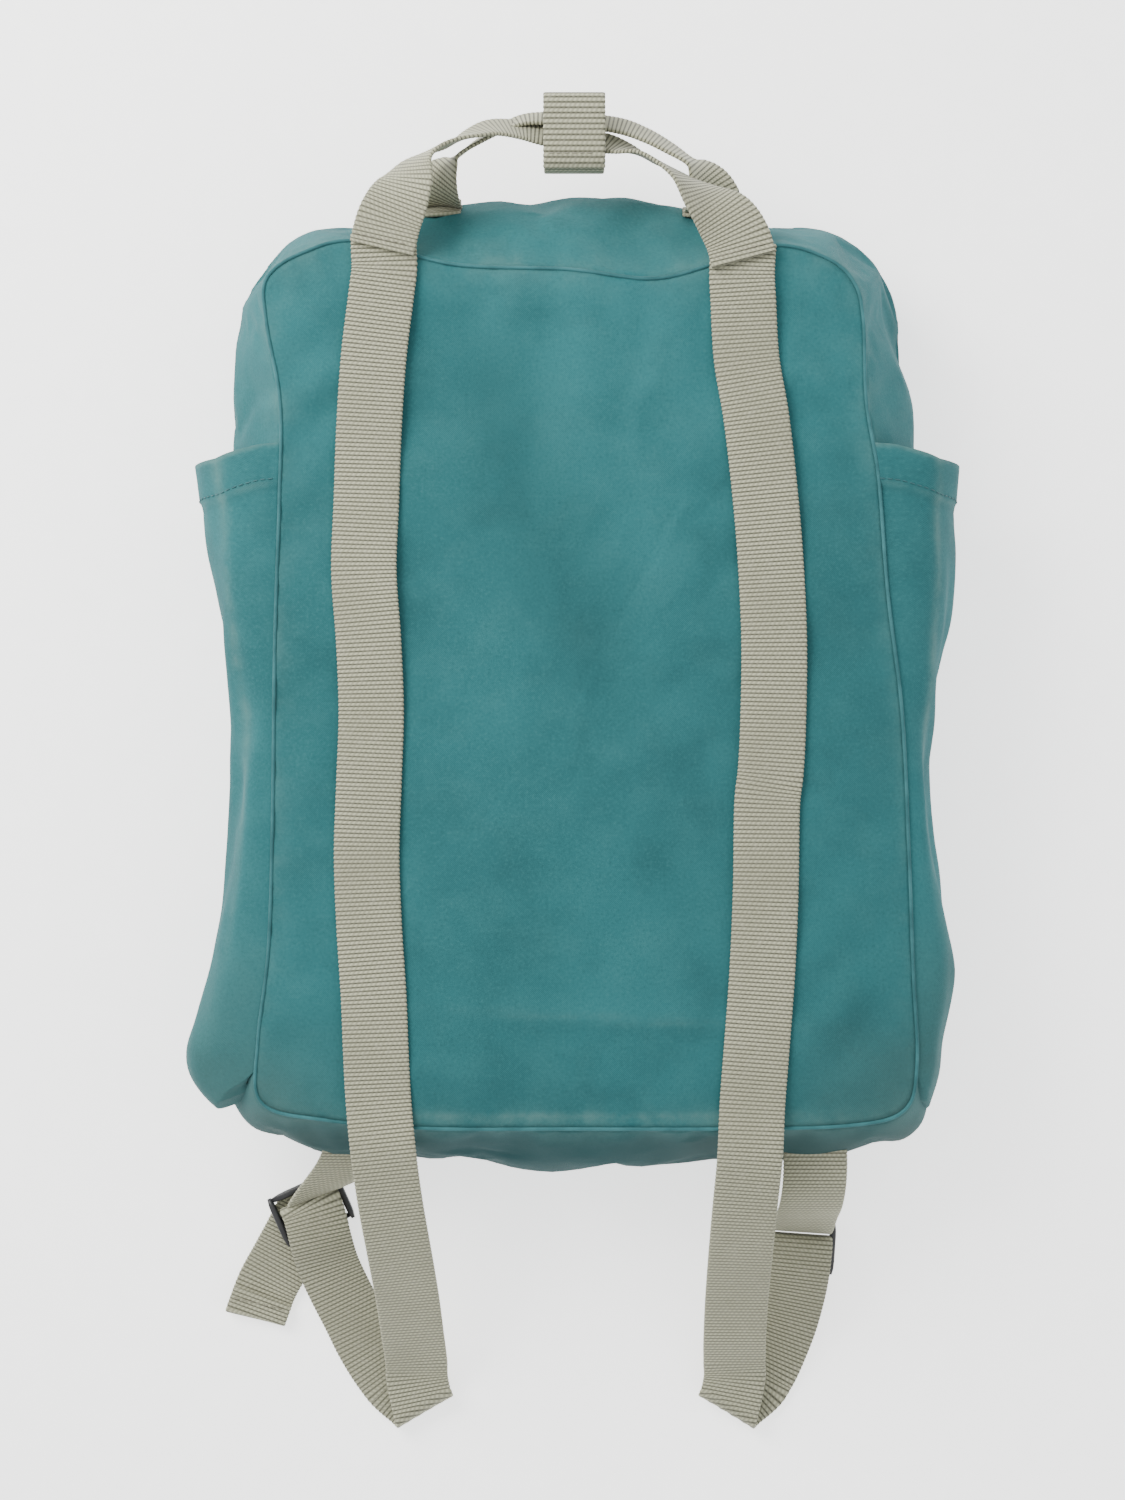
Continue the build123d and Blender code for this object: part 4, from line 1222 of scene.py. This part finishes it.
# ---- front shell, pocket and zips ----------------------------------------------------------------
def build_front_shell():
    """Front panel and its gusset, down to the ground."""
    zip_edge = at_height(ZIP_XY, FRONT_EDGE_Z)
    seam = at_height(FRONT_XY, FRONT_SEAM_Z)
    pull = (zip_edge + seam) / 2 + at_height(ZIP_XY - FRONT_XY, 0.0) * 0.55
    rings = [bent_ring(zip_edge, pull, seam, share) for share in np.linspace(0, 1, 9)]
    for share in np.linspace(0.975, 0.03, 34):
        ring = seam * [share, share, 1]
        x, y = ring[:, 0], ring[:, 1]
        over_pocket = ((1 - smooth_step(np.abs(x), 96, 116)) * (1 - smooth_step(y, 82, 106))
                       * smooth_step(y, -182, -158))
        low = 3.2 + 0.8 * noise_at(ring, 40.0, 21)
        ring[:, 2] = low + (12.4 - low) * over_pocket
        rings.append(ring)
    rings = np.array(rings)
    ripple = noise_at((rings[:9] * [1, 1, 0.5]).reshape(-1, 3), 24.0, 22)
    rings[:9, :, :2] *= 1 + 0.006 * ripple.reshape(9, AROUND, 1)
    rings[0, :, :2] = ZIP_XY
    # Darker towards the bottom of the pack.
    darkening = smooth_step(-rings[:, :, 1], 120, 200) * 0.6
    marks = {"wear": np.zeros(darkening.shape) + 0.5 * bump(np.arange(len(rings)), 8, 1)[:, None], "darkening": darkening,
             "shade": np.zeros(darkening.shape) + 0.15}
    piece = mesh_from_grid("front_panel_canvas", rings, wrap=True, uv=ring_uv(rings), marks=marks)
    close_ring(piece, (len(rings) - 1) * AROUND, AROUND, rings[-1].mean(0))
    thicken(piece, CANVAS_THICKNESS)
    finish_blended(piece,
                   CANVAS,
                   ("front_base", "front_base_panel", "front_panel",
                    "flap_gusset_left", "flap_gusset_right", "flap_gusset_top"))


def zone_strip(name, low_z, high_z, keep):
    """Upright strip along part of the zip line."""
    kept = [i for i in range(AROUND) if keep(*ZIP_XY[i])]
    start = next(i for i in kept if (i - 1) % AROUND not in kept)
    line = ZIP_XY[[(start + k) % AROUND for k in range(len(kept))]]
    grid = [at_height(line, z) for z in np.linspace(high_z, low_z, 6)]
    uv = np.zeros((6, len(line), 2))
    uv[:, :, 0] = running_length(line)[None, :]
    uv[:, :, 1] = np.linspace(0, high_z - low_z, 6)[:, None]
    piece = mesh_from_grid(name, grid, uv=uv, marks=plain_marks((6, len(line)), 0.15, 0.5, 0.3))
    thicken(piece, CANVAS_THICKNESS)
    return piece


def build_zip_coils():
    """Interlocking coil turns along both edges of the main zip."""
    hinge = frame["joints"][0]["pos_m"][1] / MM
    line = ZIP_XY * (1 - COIL_INSET / np.linalg.norm(ZIP_XY, axis=1)[:, None])
    above = [i for i in range(AROUND) if line[i, 1] > hinge + 2]
    start = next(i for i in above if (i - 1) % AROUND not in above)
    ordered = at_height(line[[(start + k) % AROUND for k in range(len(above))]], ZIP_CENTRE_Z)
    for side, sign, shift in (("rear", 1, 0.0), ("front", -1, 0.5)):
        points = even(ordered, step=COIL_PITCH)
        travel = unit(np.gradient(points, axis=0))
        outward = np.cross(travel, (0, 0, -1.0))
        vertices, faces = [], []
        for k in range(1, len(points) - 1):
            base = len(vertices)
            centre = points[k] + travel[k] * shift * COIL_PITCH + np.array([0, 0, sign * 0.75])
            for a in (-1, 1):
                for q in range(8):
                    angle = q * math.pi / 4
                    reach = np.array([0, 0, 1.25 * math.cos(angle)])
                    rise = 0.62 * math.sin(angle)
                    vertices.append(centre + travel[k] * a * 0.42 + reach + outward[k] * rise)
            faces += tube_faces(base, 2, 8)
        piece = new_piece(f"zip_coil_turns_{side}", vertices, faces)
        body = "pack" if side == "rear" else "front_flap"
        finish_piece(piece, body, COIL, (f"zip_coil_{side}",))


def build_front_pocket():
    """Flat zipped pocket that the bag lies on."""
    low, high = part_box("front_pocket")
    half_x = (high.x - low.x) / 2 / MM
    half_y = (high.y - low.y) / 2 / MM
    middle = (high.y + low.y) / 2 / MM
    count = 240
    angles = np.linspace(0, 2 * math.pi, count, endpoint=False) + 0.001
    rays = np.column_stack([np.sin(angles) * half_x, np.cos(angles) * half_y])
    edge = rounded_rect(rays, (half_x - 0.6, half_y - 0.6, 14.0))
    levels = [(12.2, 1.0), (10.5, 1.003), (9.3, 1.003), (6.0, 1.004), (2.8, 1.003), (1.6, 0.999),
              (0.7, 0.99), (0.35, 0.975)]
    rings = [at_height(edge * size + [0, middle], z) for z, size in levels]
    for share in np.linspace(0.94, 0.04, 22):
        ring = at_height(edge * share + [0, middle], 0.3)
        ring[:, 2] += 0.55 * (noise_at(ring, 30.0, 31) + 1) * (1 - share ** 6)
        rings.append(ring)
    rings = np.array(rings)
    piece = mesh_from_grid("front_pocket_canvas", rings, wrap=True, uv=ring_uv(rings),
                           marks=plain_marks(rings.shape[:2], 0.1, 0.2, 0.1))
    close_ring(piece, (len(rings) - 1) * count, count, rings[-1].mean(0))
    work = bmesh.new()
    work.from_mesh(piece.data)
    slot = []
    for face in work.faces:
        c = face.calc_center_median() / MM
        if abs(c.x) < 86 and c.y > middle + half_y - 4 and 3.0 < c.z < 9.2:
            slot.append(face)
    bmesh.ops.delete(work, geom=slot, context="FACES")
    work.to_mesh(piece.data)
    work.free()
    thicken(piece, 1.0)
    finish_piece(piece, "front_flap", CANVAS, ("front_pocket",))


# ---- inside --------------------------------------------------------------------------------------
def build_inside(tree):
    low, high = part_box("back_foam")
    centre = (low + high) / 2 / MM
    half = (high - low) / 2 / MM
    angles = np.linspace(0, 2 * math.pi, 160, endpoint=False) + 0.001
    rays = np.column_stack([np.sin(angles) * half.x, np.cos(angles) * half.y])
    edge = rounded_rect(rays, (half.x - 0.4, half.y - 0.4, 27.0))
    rings = []
    for share, rise in ((0.04, 1), (0.3, 1), (0.6, 1), (0.85, 1), (0.95, 0.96), (0.985, 0.75), (1.0, 0.3),
                        (1.0, -0.3), (0.985, -0.75), (0.95, -0.96), (0.85, -1), (0.6, -1), (0.3, -1),
                        (0.04, -1)):
        z = centre.z - 1.2 + rise * (half.z - 0.9)
        rings.append(at_height(edge * share + [centre.x, centre.y], z))
    rings = np.array(rings)
    for ring in rings:
        for point in ring:
            cover = surface_height(tree, point[0], point[1]) or PANEL_HEIGHT
            point[2] += min(0.0, cover - 2.4 - (centre.z + half.z - 1.2))
    piece = mesh_from_grid("back_padding", rings, wrap=True, caps=True)
    finish_piece(piece, "pack", FOAM, ("back_foam",))

    low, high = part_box("inner_sleeve")
    x = np.linspace(low.x / MM, high.x / MM, 48)
    y = np.linspace(low.y / MM, high.y / MM, 60)
    grid = np.zeros((60, 48, 3))
    for r in range(60):
        for c in range(48):
            u = 2 * c / 47 - 1
            v = r / 59
            edge = max(abs(u) ** 8, (1 - v) ** 10)
            sag = 1.6 * v * (1 - u * u) * math.sin(3 + 5 * u)
            z = low.z / MM + 0.9 + (high.z - low.z) / MM * 0.8 * edge + 0.4 * sag
            grid[r, c] = (x[c] * 0.985, y[r] * 0.985, z)
    for row in grid:
        for point in row:
            cover = surface_height(tree, point[0], point[1]) or PANEL_HEIGHT
            point[2] = min(point[2], cover - 8.4)
    sleeve = mesh_from_grid("inner_sleeve_cloth", grid)
    thicken(sleeve, 0.8)
    finish_piece(sleeve, "pack", LINING, ("inner_sleeve",))
    hem = tube_along("sleeve_hem", grid[-1] + [0, 0, -0.4], 1.1, sides=8, step=4.0)
    finish_piece(hem, "pack", ZIP_TAPE)


def dress_cad_nodes():
    looks = {
        "zip_slider_left": ZIP_METAL, "zip_slider_right": ZIP_METAL, "pocket_slider": ZIP_METAL,
        "zip_pull_left": ZIP_METAL, "zip_pull_right": ZIP_METAL, "pocket_pull": ZIP_METAL,
        "zip_tape_rear": ZIP_TAPE, "zip_tape_front": ZIP_TAPE,
        "pocket_zip_tape_lower": ZIP_TAPE, "pocket_zip_tape_upper": ZIP_TAPE,
        "pocket_zip_coil_lower": COIL, "pocket_zip_coil_upper": COIL,
        "grip_hook_patch": HOOKS, "grip_loop_patch": HOOKS,
    }
    for node, material in looks.items():
        data = frame["nodes"][node].data
        data.materials.clear()
        data.materials.append(material)


# ---- assembly ------------------------------------------------------------------------------------
build_stage()
back = build_back_panel()
wall = build_side_wall()
thicken(back, CANVAS_THICKNESS)
thicken(wall, CANVAS_THICKNESS)
# The seam ridge takes a darker canvas colour: painted shade along the seam groove.
seam_ridge = tube_along("seam_ridge_canvas", SEAM + [0, 0, 0.05], 0.8, closed=True, sides=10, step=1.6)
finish_piece(seam_ridge, "pack", CANVAS_SEAM_SHADE)
binding = tube_along("back_seam_binding_tape", SEAM * [0.975, 0.975, 1] - [0, 0, 4.2], 1.7, closed=True,
                     step=3.0)
finish_piece(binding, "pack", ZIP_TAPE, ("back_seam_binding",))
tree = BVHTree.FromObject(back, bpy.context.evaluated_depsgraph_get())
wall_tree = BVHTree.FromObject(wall, bpy.context.evaluated_depsgraph_get())
finish_piece(back, "pack", CANVAS, ("back_panel",))
finish_piece(wall, "pack", CANVAS, ("gusset_left", "gusset_right", "gusset_top", "gusset_bottom"))
build_straps(tree)
for side in ("left", "right"):
    build_side_pocket(side)
build_handle(wall_tree)
build_grip()
build_adjusters()
build_front_shell()
fold_y = frame["joints"][0]["pos_m"][1] / MM
band = zone_strip("bottom_band_canvas", FRONT_EDGE_Z - 0.5, REAR_EDGE_Z + 0.5, lambda x, y: y < fold_y)
finish_piece(band, "pack", CANVAS)
build_zip_coils()
build_front_pocket()
build_inside(tree)
dress_cad_nodes()
